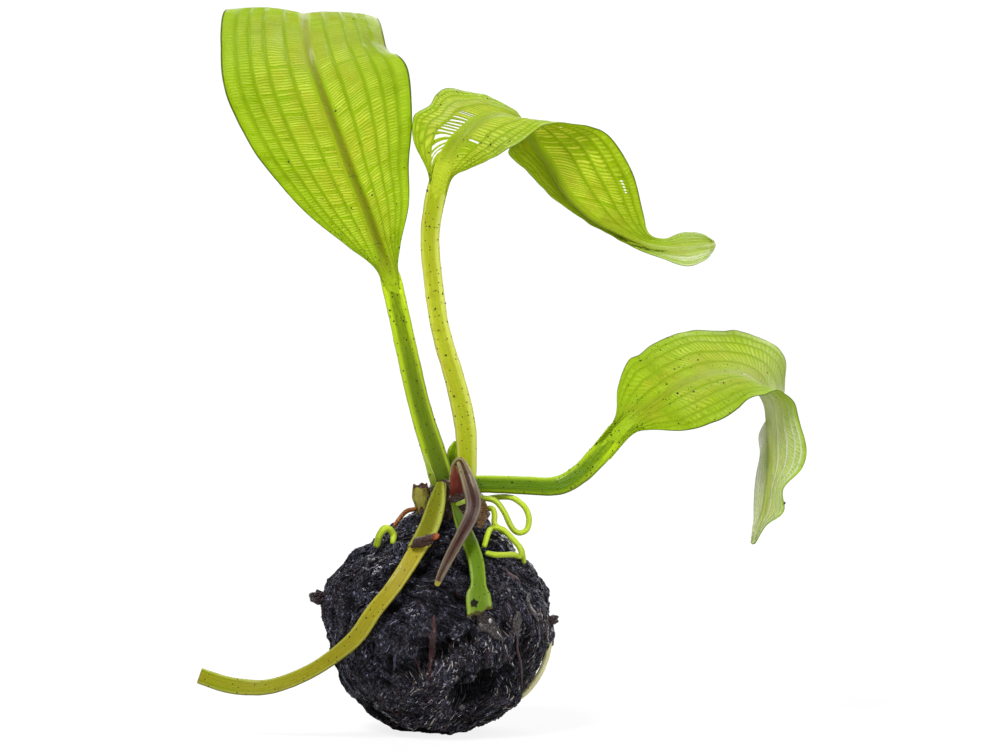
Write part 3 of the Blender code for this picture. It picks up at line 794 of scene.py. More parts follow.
@dataclass
class Blade:
    """A leaf blade of lace: veins along it, ribs across it and thin film between them.

    Its columns follow the veins and its rows the ribs, four rows to a rib, so that every window
    between two ribs and two veins has faces of its own, which are left out where it is open.
    """

    stations: tuple[Station, ...]
    swell: float
    wave_height: float
    wave_count: float
    pitches: Series
    veins: Series
    skew: Pair
    midrib_widths: Pair
    interval_light: Series
    light_along: Series
    # Where the painted glare and the pale tissue lie, along the blade and across it.
    painted_glare_and_pale_along: Series
    painted_glare_and_pale_across: Series
    dirt_along: Series
    seed: int
    spread_along: Series = (0.0, 0.0)
    slits: tuple[Slits, ...] = ()
    midrib_share: float = 0.08
    vein_half: float = 0.016
    window_inset: float = 0.01
    margin_ribs: float = 0.4
    film_half: float = 0.05
    rib_half: float = 0.19
    vein_raise: float = 0.12
    midrib_raise: float = 0.85
    channel_depth: float = 0.22
    shoulder: float = 0.75
    window_columns: int = 4
    margin_columns: Series = (0.06, 0.3, 0.55, 0.78, 0.93, 0.985, 1.0)
    row_phases: Series = (0.0, 0.26, 0.5, 0.74)
    film_rows: Series = (-0.6, 0.75, 1.0, 0.75)
    rib_rows: Series = (0.95, 0.095, 0.0, 0.095)
    still_ends: float = 0.12
    jitter: float = 0.0026
    jitter_waves: Pair = (9.0, 60.0)
    puckers: tuple[Pair, ...] = ((0.5, 5.5), (0.22, 2.1))
    dimmest: float = 0.45
    shut_share: float = 0.08
    length_steps: int = 2000
    spine_columns: int = 3
    least_half_width: float = 0.2
    widest_spine: float = 0.8
    margin_until: float = 0.96
    border_depth: float = 0.8
    edge_from: float = 0.9
    edge_thinning: float = 0.75
    tip_thinning: float = 0.75
    foot_ease: Pair = (0.02, 0.4)
    upper_raise: float = 0.3
    cloud_pitch: float = 6.0
    cloudy_glare_and_pale: Pair = (0.85, 0.6)
    cloudy_dirt: Pair = (0.7, 0.9)
    foot_lean: float = 0.08
    foot_edges: Pair = (0.05, 0.16)
    at: Array = field(init=False)
    vein_line: Array = field(init=False)
    interval: Indices = field(init=False)
    side: Indices = field(init=False)
    ribs: int = field(init=False)
    row_at: Array = field(init=False)
    rib_of_row: Indices = field(init=False)
    along: Array = field(init=False)
    cell: Array = field(init=False)
    vein_grid: Array = field(init=False)
    midrib_grid: Array = field(init=False)
    cell_light: Array = field(init=False)
    upper: Array = field(init=False)
    normals: Array = field(init=False)

    def shape(self) -> Shape:
        """Both faces of the blade and the walls along its edge and round its open windows."""
        self._lay_columns()
        self._lay_rows()
        sheet = self._sheet()
        upper, under = self._thicken(sheet, *self._weave())
        self.upper, self.normals = upper, self._normals(upper)
        solid = self._solid_cells()
        faces = self._faces(solid)
        across = np.broadcast_to(self.at, self.along.shape)
        lie = np.stack([across, self.along, np.ones_like(self.along)], axis=-1).reshape(-1, 3)
        lace = np.stack([self.cell, self.vein_grid, self.midrib_grid], axis=-1).reshape(-1, 3)
        film = self._film().reshape(-1, 3)
        points = np.concatenate([upper.reshape(-1, 3), under.reshape(-1, 3)])
        # The film values carry painted glare with pale tissue, nearness to the stalk, and dirt.
        carried = {
            "lie": np.concatenate([lie, lie * [1, 1, -1]]),
            "lace": np.concatenate([lace, lace]),
            "film": np.concatenate([film, film]),
        }
        used, faces = np.unique(faces, return_inverse=True)
        faces = faces.reshape(-1, 4)
        none = np.zeros((0, 3), np.int64)
        kept = {key: values[used] for key, values in carried.items()}
        return Shape(points[used], faces, none, kept).turned_outwards()

    def _lay_columns(self) -> None:
        """Places the columns of one half from the midrib out, then mirrors them."""
        at, vein, interval = [], [], []
        last = self.midrib_share
        window = self.window_columns
        for number, place in enumerate(self.veins):
            foot, inset = self.vein_half, self.vein_half + self.window_inset
            inner = np.linspace(last + inset, place - inset, window)
            at += [last + foot, *inner, place - foot, place]
            vein += [0.0 if number == 0 else self.shoulder] + [0.0] * window + [self.shoulder, 1.0]
            interval += [-1] + [number] * window + [-1, -1]
            last = place
        at += [last + (1 - last) * share for share in self.margin_columns]
        vein += [self.shoulder] + [0.0] * (len(self.margin_columns) - 1)
        interval += [-1] * len(self.margin_columns)
        spine = np.linspace(0, self.midrib_share, self.spine_columns + 1)[1:]
        half = np.concatenate([spine, at])
        self.at = np.concatenate([-half[::-1], [0], half])
        vein_half = np.concatenate([0 * spine, vein])
        interval_half = np.array([-1] * len(spine) + interval)
        self.vein_line = np.concatenate([vein_half[::-1], [0], vein_half])
        self.interval = np.concatenate([interval_half[::-1], [-1], interval_half])
        self.side = np.sign(self.at).astype(int)

    def _lay_rows(self) -> None:
        """Places four rows to a rib: on it, and at the lower edge, middle and upper edge of a window.

        The ribs stand a pitch apart along the midrib, whose length is summed from short steps.
        """
        fine = np.linspace(0, 1, self.length_steps)
        middle = curve_at(np.array([s.mid for s in self.stations]), fine)
        step = np.linalg.norm(np.diff(middle, axis=0), axis=1)
        pitch = values_along(self.pitches, fine)[1:]
        counted = np.concatenate([[0], np.cumsum(step / pitch)])
        self.ribs = int(counted[-1])
        numbers = (np.arange(self.ribs)[:, None] + self.row_phases).ravel()
        numbers = np.append(numbers, self.ribs) * counted[-1] / self.ribs
        self.rib_of_row = np.minimum(np.arange(len(numbers)) // RIB_ROWS, self.ribs - 1)
        self.row_at = np.interp(numbers, counted, fine)

    def _sheet(self) -> Array:
        """The middle surface of the blade on the grid of rows and columns.

        A point is mid + (edge - mid) |u|, lifted along the normal by swell sin(pi |u|) and by the
        wave of the edge, u^2 sin(2 pi count t), both fading to the blade's two ends. t leans by
        skew sin(pi/2 |across|), as the ribs do, which makes them arcs.
        """
        stations = np.array(self.stations)
        row = self.row_at[:, None]
        reach = np.abs(self.at)[None]
        ease = np.clip(np.minimum(row, 1 - row) / self.still_ends, 0, 1)
        lean = np.where(self.at < 0, *self.skew)[None]
        across_waves, along_waves = self.jitter_waves
        spread = np.broadcast_arrays(across_waves * self.at[None], along_waves * row, 0 * row)
        jitter = self.jitter * rolling(np.stack(spread, axis=-1), 1.0, self.seed)
        self.along = np.clip(row + (lean * np.sin(np.pi / 2 * reach) + jitter) * ease, 0, 1)
        left, mid, right = (curve_at(stations[:, k], self.along) for k in range(3))
        edge = np.where((self.at < 0)[None, :, None], left, right)
        half_width = np.maximum(np.linalg.norm(edge - mid, axis=-1), self.least_half_width)
        base, tip = self.midrib_widths
        spine = np.clip((base + (tip - base) * self.along) / 2 / half_width, 0, self.widest_spine)
        inside = spine * reach / self.midrib_share
        outer = (reach - self.midrib_share) / (1 - self.midrib_share)
        outer = outer + values_along(self.spread_along, row) * np.sin(np.pi * np.clip(outer, 0, 1))
        outside = spine + (1 - spine) * outer
        u = np.where(reach <= self.midrib_share, inside, outside)[..., None]
        sheet = mid + (edge - mid) * u
        taper = np.sin(np.pi * self.along[..., None]) ** 0.5
        waves = np.sin(2 * np.pi * self.wave_count * self.along[..., None])
        lift = self.swell * np.sin(np.pi * u) + self.wave_height * u**2 * waves
        puckers = enumerate(self.puckers, self.seed + 1)
        pucker = sum(height * rolling(sheet, pitch, seed) for seed, (height, pitch) in puckers)
        return sheet + self._normals(sheet) * (lift * taper + pucker[..., None] * taper * np.sqrt(u))

    def _by_row(self, four: Series, last: float) -> Array:
        """A column of values: those of a rib's four rows for each rib, then that of the last row."""
        return np.append(np.tile(four, self.ribs), last)[:, None]

    @staticmethod
    def _normals(grid: Array) -> Array:
        """The unit normal at each point of a grid, from its two directions."""
        return unit(np.cross(np.gradient(grid, axis=1), np.gradient(grid, axis=0)))

    def _weave(self) -> tuple[Array, Array]:
        """Works out how much each point is window, vein and midrib.

        Returns:
            How deep each point lies in a window, which is below nothing on a rib, and how near it is
            to the middle of the midrib.
        """
        random = np.random.default_rng(self.seed)
        spread = random.uniform(self.dimmest, 1.0, (self.ribs, 2, len(self.veins)))
        spread *= random.uniform(0, 1, spread.shape) > self.shut_share
        self.cell_light = spread * np.array(self.interval_light)
        inside = self.interval >= 0
        side = (self.side > 0).astype(int)
        light = self.cell_light[self.rib_of_row][:, side, np.maximum(self.interval, 0)]
        border = np.zeros(len(self.at), bool)
        border[1:-1] = inside[1:-1] & ~(inside[:-2] & inside[2:])
        outermost = np.abs(self.at)
        margin = (outermost > self.veins[-1] + 2 * self.vein_half) & (outermost < self.margin_until)
        ribbed = np.where(margin, self.margin_ribs, inside)[None]
        film = self._by_row(self.film_rows, 0.0) * ribbed * np.where(border, self.border_depth, 1.0)[None]
        brightness = values_along(self.light_along, self.along)
        self.cell = np.maximum(film, 0) * light * brightness
        rib = self._by_row(self.rib_rows, self.rib_rows[0]) * ribbed * brightness
        self.vein_grid = np.maximum(self.vein_line[None], rib)
        spine = np.clip(1 - (np.abs(self.at) / self.midrib_share) ** 2, 0, 1)[None] * np.ones_like(film)
        self.midrib_grid = np.sqrt(spine)
        return film, spine

    def _thicken(self, sheet: Array, film: Array, spine: Array) -> tuple[Array, Array]:
        """The upper and the under face, with ribs and veins proud of the film between them."""
        edge = 1 - self.edge_thinning * smooth_step(np.abs(self.at), self.edge_from, 1.0)[None]
        half = (self.rib_half + (self.film_half - self.rib_half) * np.maximum(film, 0)) * edge
        length, least = self.foot_ease
        fade = (1 - self.tip_thinning * self.along) * np.clip(self.along / length, least, 1)
        raised = self.vein_raise * self.vein_line[None]
        up = half + self.upper_raise * raised - self.channel_depth * spine**2 * fade
        down = half + raised + self.midrib_raise * self.midrib_grid * fade
        normal = self._normals(sheet)
        return sheet + normal * up[..., None], sheet - normal * down[..., None]

    def _film(self) -> Array:
        """How much painted glare and pale tissue, how near to the stalk and how dirty each point is."""
        cloud = rolling(self.upper, self.cloud_pitch, self.seed + 3)
        mean, sway = self.cloudy_glare_and_pale
        painted_glare_and_pale = values_along(self.painted_glare_and_pale_along, self.along) * (mean + sway * cloud)
        painted_glare_and_pale = painted_glare_and_pale * values_along(self.painted_glare_and_pale_across, (self.at + 1) / 2)[None]
        foot = 1 - smooth_step(self.along + self.foot_lean * np.abs(self.at)[None], *self.foot_edges)
        mean, sway = self.cloudy_dirt
        dirt = values_along(self.dirt_along, self.along) * (mean + sway * cloud)
        return np.clip(np.stack([painted_glare_and_pale, foot, dirt], axis=-1), 0, 1)

    def _solid_cells(self) -> NDArray[np.bool_]:
        """Which squares of the grid are kept: all but those of the open windows."""
        random = np.random.default_rng(self.seed + 1)
        opened = np.zeros(self.cell_light.shape, int)
        at = self.row_at[np.arange(self.ribs) * RIB_ROWS]
        for slit in self.slits:
            chosen = (at > slit.start) & (at < slit.end) & (random.uniform(0, 1, self.ribs) < slit.share)
            opened[chosen, int(slit.side > 0), slit.interval] = 1 + slit.narrow
        window = (self.interval[:-1] >= 0) & (self.interval[:-1] == self.interval[1:])
        middle = window & np.roll(window, 1) & np.roll(window, -1)
        side = (self.side[:-1] > 0).astype(int)
        by_row = opened[self.rib_of_row[:-1]][:, side, np.maximum(self.interval[:-1], 0)]
        free = ((by_row == 1) & window[None]) | ((by_row == 2) & middle[None])
        low = np.arange(len(self.row_at) - 1) % RIB_ROWS
        return ~(free & ((low == 1) | (low == 2))[:, None])

    def _faces(self, solid: NDArray[np.bool_]) -> Indices:
        """Faces over both sides of each kept square, and a wall on each side of it that is free."""
        rows, columns = solid.shape[0] + 1, solid.shape[1] + 1
        index = np.arange(rows * columns).reshape(rows, columns)
        a, b, c, d = index[:-1, :-1], index[:-1, 1:], index[1:, 1:], index[1:, :-1]
        count = rows * columns
        kept = [corner[solid] for corner in (a, b, c, d)]
        faces = [np.stack(kept, axis=1), np.stack(kept, axis=1)[:, ::-1] + count]
        padded = np.pad(solid, 1)
        middle = (slice(1, -1), slice(1, -1))
        edges = {(-1, 0): (b, a), (1, 0): (d, c), (0, -1): (a, d), (0, 1): (c, b)}
        for (down, right), (first, second) in edges.items():
            beside = np.roll(padded, (-down, -right), axis=(0, 1))[middle]
            chosen = solid & ~beside
            p, q = first[chosen], second[chosen]
            faces.append(np.stack([p, q, q + count, p + count], axis=1))
        return np.concatenate(faces)

    def spot(self, side_share: Array, length_share: Array) -> tuple[Array, Array]:
        """The upper face's points and normals nearest to these places across and along it."""
        column = np.abs(self.at[None] - side_share[:, None]).argmin(axis=1)
        row = np.abs(self.row_at[None] - length_share[:, None]).argmin(axis=1)
        return self.upper[row, column], self.normals[row, column]


def sphere_ways(columns: int, rows: int) -> Array:
    """Unit vectors in rings round +Z, from near the top to near the bottom, without the poles."""
    level = np.linspace(0, np.pi, rows + 1)[1:-1, None]
    turn = np.linspace(0, 2 * np.pi, columns, endpoint=False)[None]
    return np.stack(
        [np.sin(level) * np.cos(turn), np.sin(level) * np.sin(turn), np.cos(level) + 0 * turn], axis=-1
    )


def crossed_sines(ways: Array, waves: Point, height: float) -> Array:
    """A rolling relief of this height: sines of the three directions, multiplied in pairs."""
    a, b, c = (np.sin(wave * ways[..., k] + 1.7 * k) for k, wave in enumerate(waves))
    return height * (a * b + b * c + c * a)


class Lump(NamedTuple):
    """A lump of the ball, or a dent below nothing: the way it faces, its height and its spread."""

    facing: Point
    height: float
    spread: float


class FibreKind(NamedTuple):
    """A kind of fibre that lies on the peat, with the lowest and highest of each of its sizes.

    It grows only where the ball's outward direction reaches less than below along away.
    """

    count: int
    length: Pair
    radius: Pair
    lift: float
    curl: float
    width: float = 1.0
    below: float = 0.93
    away: Point = (0.0, 0.0, 1.0)


class Noise(NamedTuple):
    """One noise of the peat's relief, read at places that are drawn in round the flow axis."""

    seed: Pattern
    height: float
    pitch: float
    drawn: float = 1.0
    fold: float = 0.0

    def read(self, places: Array) -> Array:
        """The noise at these places."""
        return rolling(places, self.pitch, self.seed)

    def crests(self, places: Array) -> Array:
        """The noise folded to crests, as 1 - fold |n|."""
        return 1 - self.fold * np.abs(self.read(places))


@dataclass
class PeatBall:
    """The ball of wet peat: a lumpy sphere, flat where it stands, felted with fibres.

    Fibres and streaks run round an axis that points out of the front, bent by rolling noise.
    """

    lumps: tuple[Lump, ...]
    dents: tuple[Lump, ...]
    kinds: tuple[FibreKind, ...]
    radius: float = 24.2
    centre_height: float = 23.5
    reliefs: tuple[tuple[Point, float], ...] = (((7, 9, 8), 0.3), ((14, 16, 15), 0.3))
    columns: int = 370
    rows: int = 250
    flow_axis: Point = (0.25, 1.0, 0.2)
    streaks: Noise = Noise(Pattern.STREAKS, 0.5, 1.9, drawn=0.16, fold=2.2)
    wrinkles: Noise = Noise(Pattern.WRINKLES, 0.22, 0.9, drawn=0.3, fold=2.2)
    cracks: Noise = Noise(Pattern.CRACKS, 1.1, 2.3, drawn=0.4)
    ridges: Noise = Noise(Pattern.RIDGES, 0.35, 3.2, fold=2.4)
    clods: Noise = Noise(Pattern.CLODS, 0.9, 7.0)
    crumbling: Noise = Noise(Pattern.CRUMBS, 0.25, 1.0)
    crack_edges: Pair = (0.3, 0.7)
    sunk: float = 0.25
    hollow_depths: Pair = (-0.2, 1.1)
    bend: Pair = (2.4, 8.0)
    flow_pitches: Pair = (9.0, 3.0)
    fine_bend: float = 0.7
    least_lift: float = 0.1
    fibre_rings: int = 7
    fibre_sides: int = 4
    fibres_down_to: float = -0.95
    crumbs_down_to: float = -0.93
    sink: float = 0.15
    thin_end: float = 0.08
    ground: float = 0.0

    def surface(self, ways: Array) -> Array:
        """The ball's skin in the given directions from its middle.

        The distance is the radius with crossed sines and bell-shaped lumps, then clods, long
        streaks, wrinkles and cracks of rolling noise drawn out along the flow.
        """
        distance = self.radius + sum(crossed_sines(ways, waves, h) for waves, h in self.reliefs)
        distance = distance + self._bells(ways, self.lumps) + self._bells(ways, self.dents)
        distance = distance + self._detail(ways * self.radius)
        points = ways * distance[..., None] + [0, 0, self.centre_height]
        points[..., 2] = np.maximum(points[..., 2], self.ground)
        return points

    def _bells(self, ways: Array, lumps: tuple[Lump, ...]) -> Array:
        """The sum of bell-shaped lumps: height exp(-(distance / spread)^2) round each facing."""
        total = np.zeros(ways.shape[:-1])
        for lump in lumps:
            apart = np.linalg.norm(ways - unit(np.array(lump.facing)), axis=-1) * self.radius
            total += lump.height * np.exp(-((apart / lump.spread) ** 2))
        return total

    def hollow(self, ways: Array) -> Array:
        """How far each place lies in a hollow: 0 on the ridges, 1 in the pits and deep dents."""
        relief = self._detail(ways * self.radius) + self._bells(ways, self.dents)
        return smooth_step(-relief, *self.hollow_depths)

    def _detail(self, skin: Array) -> Array:
        """The fine relief at points of a plain sphere, in millimetres.

        Streaks and wrinkles are noises drawn out along the flow and folded to crests. Ridges are
        folded too. Clods, crumbs and cracks are plain noises, the cracks cut deep.
        """
        axis = unit(np.array(self.flow_axis))
        amount, pitch = self.bend
        bent = skin + amount * rolling_vectors(skin, pitch, Pattern.WOBBLE)
        level = (unit(bent) @ axis)[..., None]
        arc = self.radius * np.arccos(np.clip(level, -1, 1))
        round_axis = bent - self.radius * level * axis
        streak, wrinkle, crack = (
            noise.drawn * round_axis + axis * arc for noise in (self.streaks, self.wrinkles, self.cracks)
        )
        relief = self.streaks.height * self.streaks.crests(streak)
        relief = relief + self.wrinkles.height * self.wrinkles.crests(wrinkle)
        relief = relief + self.crumbling.height * self.crumbling.read(skin)
        relief = relief + self.ridges.height * self.ridges.crests(bent)
        relief = relief + self.clods.height * self.clods.read(skin)
        split = smooth_step(self.cracks.read(crack), *self.crack_edges)
        return relief - self.cracks.height * split - self.sunk

    def _flow(self, ways: Array, curl: float) -> Array:
        """The way that fibres run: round the flow axis, turned aside by rolling noise."""
        axis = unit(np.array(self.flow_axis))
        broad, narrow = self.flow_pitches
        bend = rolling_vectors(ways * self.radius, broad, Pattern.FLOW)
        fine = rolling_vectors(ways * self.radius, narrow, Pattern.FINE_FLOW)
        along = np.cross(axis, ways) + curl * (bend + self.fine_bend * fine)
        return unit(along - ways * np.sum(along * ways, axis=-1, keepdims=True))

    def crumbs(self, count: int, sizes: Pair, seed: int) -> Shape:
        """Crumbs of peat strewn over the ball by chance."""
        random = np.random.default_rng(seed)
        ways = unit(random.normal(size=(count, 3)))
        ways = ways[ways[:, 2] > self.crumbs_down_to]
        crumbs = grains(self.surface(ways), ways, random.uniform(*sizes, len(ways)), seed)
        # The crumbs carry how deep in a hollow they lie, which their material paints as shade.
        crumbs.carried["lie"][:, 2] = np.repeat(self.hollow(ways), GRAIN_POINTS)
        return crumbs

    def front(self, seen: Array) -> tuple[Array, Array]:
        """Points on the front of the ball at these places across and up, and the ways they face."""
        across, up = seen[:, 0], seen[:, 1] - self.centre_height
        depth = np.sqrt(np.maximum(self.radius**2 - across**2 - up**2, 0))
        ways = unit(np.stack([across, -depth, up], axis=1))
        return self.surface(ways), ways

    def body(self) -> Shape:
        """The ball's closed skin."""
        ways = sphere_ways(self.columns, self.rows)
        # The skin carries its hollow depth, which its material paints as shade.
        deep = self.hollow(ways)
        carried = np.stack([deep, 0 * deep, 0 * deep], axis=-1)
        return closed_rings(self.surface(ways), *self.surface(POLES), carried)

    def fibres(self, kind: FibreKind, seed: int) -> Shape:
        """Fibres of one kind, each a thin tube that follows the flow and sinks in at its ends.

        A tube point is skin + lift sin(pi s) out + r (width cos a side + sin a out), where s runs
        from 0 to 1 along the fibre and r swells and narrows as the root of sin(pi s).
        """
        random = np.random.default_rng(seed)
        ways = unit(random.normal(size=(4 * kind.count, 3)))
        ways = ways[(ways[:, 2] > self.fibres_down_to) & (ways @ np.array(kind.away) < kind.below)]
        ways = ways[: kind.count]
        deep = self.hollow(ways)
        count = len(ways)
        step = random.uniform(*kind.length, (count, 1)) / (self.fibre_rings - 1) / self.radius
        heading = random.choice([-1.0, 1.0], (count, 1))
        places = [ways]
        for _ in range(self.fibre_rings - 1):
            ways = unit(ways + heading * step * self._flow(ways, kind.curl))
            places.append(ways)
        route = np.stack(places, axis=1)
        share = np.linspace(0, 1, self.fibre_rings)[None, :, None]
        arch = np.sin(np.pi * share)
        lift = random.uniform(self.least_lift, 1, (count, 1, 1)) * kind.lift
        path = self.surface(route) + route * (lift * arch - self.sink)
        swelling = np.sqrt(self.thin_end + (1 - self.thin_end) * arch)
        radius = random.uniform(*kind.radius, (count, 1, 1)) * swelling
        tangent = unit(np.gradient(path, axis=1))
        side = unit(np.cross(tangent, route))
        out = np.cross(side, tangent)
        turn = np.linspace(0, 2 * np.pi, self.fibre_sides, endpoint=False)[:, None]
        rings = path[:, :, None] + radius[..., None] * (
            kind.width * np.cos(turn) * side[:, :, None] + np.sin(turn) * out[:, :, None]
        )
        ends = path[:, [0, -1]]
        each = self.fibre_rings * self.fibre_sides
        points = np.concatenate([rings.reshape(count, each, 3), ends], axis=1)
        points[..., 2] = np.maximum(points[..., 2], self.ground)
        quads, triangles = tube_faces(self.fibre_rings, self.fibre_sides, count)
        chance = random.uniform(0, 1, (count, 2))
        # Each fibre carries its hollow depth too, painted as shade by its material.
        carried = {"lie": np.repeat(np.column_stack([chance, deep]), each + 2, axis=0)}
        return Shape(points.reshape(-1, 3), quads, triangles, carried).turned_outwards()


@dataclass
class Tuber:
    """The knobbly rootstock at the plant's crown."""

    centre: Point = (3.2, 1.5, 48.3)
    radii: Point = (8.0, 7.4, 6.8)
    knobs: tuple[Point, float] = ((7, 8, 9), 0.045)
    columns: int = 180
    rows: int = 110

    def shape(self) -> Shape:
        """An egg whose radii carry crossed sines and rolling noise."""
        ways = sphere_ways(self.columns, self.rows)
        return closed_rings(self._skin(ways), *self._skin(POLES), ways)

    def _skin(self, ways: Array) -> Array:
        """The skin in the given directions from the middle."""
        points = ways * self.radii * (1 + crossed_sines(ways, *self.knobs))[..., None]
        fibre = rolling(points * [1.6, 1.6, 0.4], 1.0, Pattern.TUBER_FIBRE)
        relief = 0.5 * rolling(points, 2.4, Pattern.TUBER) + 0.35 * fibre - 0.25
        return points + ways * relief[..., None] + self.centre


@dataclass(frozen=True)
class Chip:
    """A flat broken piece of bark, drawn in its own plane."""

    outline: tuple[Pair, ...]
    middle: Point
    first_axis: Point
    second_axis: Point
    thickness: float
    around: int = 96

    def shape(self) -> Shape:
        """Rings of the outline, small to full on one side and full to small on the other.

        Both sides are split into ledges by rolling noise stretched along the first axis.
        """
        outline = np.array(self.outline)
        closed = np.concatenate([outline, outline[:1]])
        at = np.linspace(0, 1, self.around, endpoint=False)
        corners = np.linspace(0, 1, len(closed))
        edge = np.stack([np.interp(at, corners, closed[:, k]) for k in range(2)], axis=1)
        first = unit(np.array(self.first_axis, float))
        through = unit(np.cross(first, self.second_axis))
        second = np.cross(through, first)
        scales = np.array([0.15, 0.4, 0.65, 0.85, 0.97, 1.0, 1.0, 0.97, 0.85, 0.65, 0.4, 0.15])
        levels = np.array([-1, -1, -1, -0.97, -0.85, -0.4, 0.4, 0.85, 0.97, 1, 1, 1])
        flat = edge @ np.stack([first, second])
        rings = flat[None] * scales[:, None, None]
        grain = rolling((rings @ np.stack([0.3 * first, second, through], axis=1)), 0.55, Pattern.BARK)
        level = levels[:, None] * self.thickness / 2 * (1 + 0.55 * grain)
        rings = rings * (1 + 0.2 * grain[..., None]) + through * level[..., None]
        rings = rings + np.array(self.middle)
        lie = np.stack(np.broadcast_arrays(at[None], levels[:, None], 0 * grain), axis=-1)
        return closed_rings(rings, rings[0].mean(axis=0), rings[-1].mean(axis=0), lie)


def grains(places: Array, outs: Array, sizes: Array, seed: int) -> Shape:
    """Grains of dirt: small eggs of two rings, each turned and stretched by chance.

    Args:
        places: Where each grain sits.
        outs: The way that its seat faces.
        sizes: Its radius.
        seed: Which of the fixed patterns of chance to use.

    Returns:
        All the grains as one shape, of twenty triangles each.
    """
    random = np.random.default_rng(seed)
    count = len(places)
    first = unit(np.cross(outs, random.normal(size=(count, 3))))
    second = np.cross(outs, first)
    even = np.linspace(0, 2 * np.pi, GRAIN_SIDES, endpoint=False)
    rings = [
        np.stack([0.85 * np.cos(turn), 0.85 * np.sin(turn), 0 * turn + height], axis=1)
        for turn, height in ((even, -0.25), (even + 0.6, 0.35))
    ]
    plain = np.concatenate([*rings, [[0, 0, -0.6], [0, 0, 0.7]]])
    stretch = random.uniform(0.6, 1.4, (count, 1, 3)) * [1.0, 1.0, 0.8]
    knobs = random.uniform(0.85, 1.15, (count, GRAIN_POINTS, 1))
    local = plain[None] * stretch * sizes[:, None, None] * knobs
    points = places[:, None] + np.einsum("nkj,njd->nkd", local, np.stack([first, second, outs], axis=1))
    quads, triangles = tube_faces(GRAIN_RINGS, GRAIN_SIDES, count)
    carried = {"lie": np.repeat(random.uniform(0, 1, (count, 3)), GRAIN_POINTS, axis=0)}
    return Shape(points.reshape(-1, 3), quads, triangles, carried).turned_outwards()


@dataclass
class Leaf:
    """A whole leaf: a fleshy stalk, a blade of lace, and grains of dirt caught on both."""

    name: str
    stalk: Strand
    blade: Blade
    stalk_finish: StalkFinish
    leaf_finish: LeafFinish
    dirt_finish: EarthFinish
    spots: tuple[tuple[float, float, float], ...] = ()
    stray: int = 30
    stray_size: Pair = (0.1, 0.28)
    stray_across: float = 0.9
    stray_along: Pair = (0.05, 0.95)
    stray_crowding: float = 1.6

    def build(self) -> None:
        """Makes the stalk, the lace and the dirt."""
        stalk = self.stalk.shape()
        node = self.name + "_stalk"
        stalk.piece(node + "_skin", made_of(self.stalk_finish), "stalk", (node,))
        lace = self.blade.shape()
        lace.piece(self.name + "_lace", made_of(self.leaf_finish), "leaf", (self.name + "_blade",))
        dirt = self._dirt(stalk)
        dirt.piece(self.name + "_dirt", made_of(self.dirt_finish), "peat")

    def _dirt(self, stalk: Shape) -> Shape:
        """Grains at the blade's marked spots, and stray ones over the blade and the stalk."""
        random = np.random.default_rng(self.blade.seed + 7)
        marked = np.array(self.spots).reshape(-1, 3)
        stray = np.stack(
            [
                random.uniform(-self.stray_across, self.stray_across, self.stray),
                random.uniform(*self.stray_along, self.stray) ** self.stray_crowding,
                random.uniform(*self.stray_size, self.stray),
            ],
            axis=1,
        )
        on_blade = np.concatenate([marked, stray])
        places, outs = self.blade.spot(on_blade[:, 0], on_blade[:, 1])
        front = np.flatnonzero(stalk.carried["lie"][:, 2] > 0.1)
        chosen = random.choice(front, self.stray)
        on_stalk = stalk.points[chosen]
        facing = unit(np.array(self.stalk.face))
        sizes = np.concatenate([on_blade[:, 2], random.uniform(*self.stray_size, self.stray)])
        return grains(
            np.concatenate([places, on_stalk]),
            np.concatenate([outs, np.broadcast_to(facing, on_stalk.shape)]),
            sizes,
            self.blade.seed,
        )


class Growth(NamedTuple):
    """A strand that grows from the rootstock or lies on it, and what it is made of.

    It has the name of the solid that it dresses, or its own name where it dresses none.
    """

    name: str
    strand: Strand
    finish: Finish
    slot: str
    dresses: bool = True


@dataclass
class Crown:
    """The rootstock with all that grows from it or is left of what grew there."""

    tuber: Tuber
    tuber_finish: EarthFinish
    growths: tuple[Growth, ...]

    def build(self) -> None:
        """Makes the rootstock and each growth."""
        self.tuber.shape().piece("tuber_skin", made_of(self.tuber_finish), "tuber", ("tuber",))
        for growth in self.growths:
            name = growth.name + "_skin" if growth.dresses else growth.name
            nodes = (growth.name,) if growth.dresses else ()
            growth.strand.shape().piece(name, made_of(growth.finish), growth.slot, nodes)


class Strip(NamedTuple):
    """A flat strip of litter on the front of the ball: its places across and up, and its sizes."""

    name: str
    seen: tuple[Pair, ...]
    width: float
    thickness: float
    finish: EarthFinish


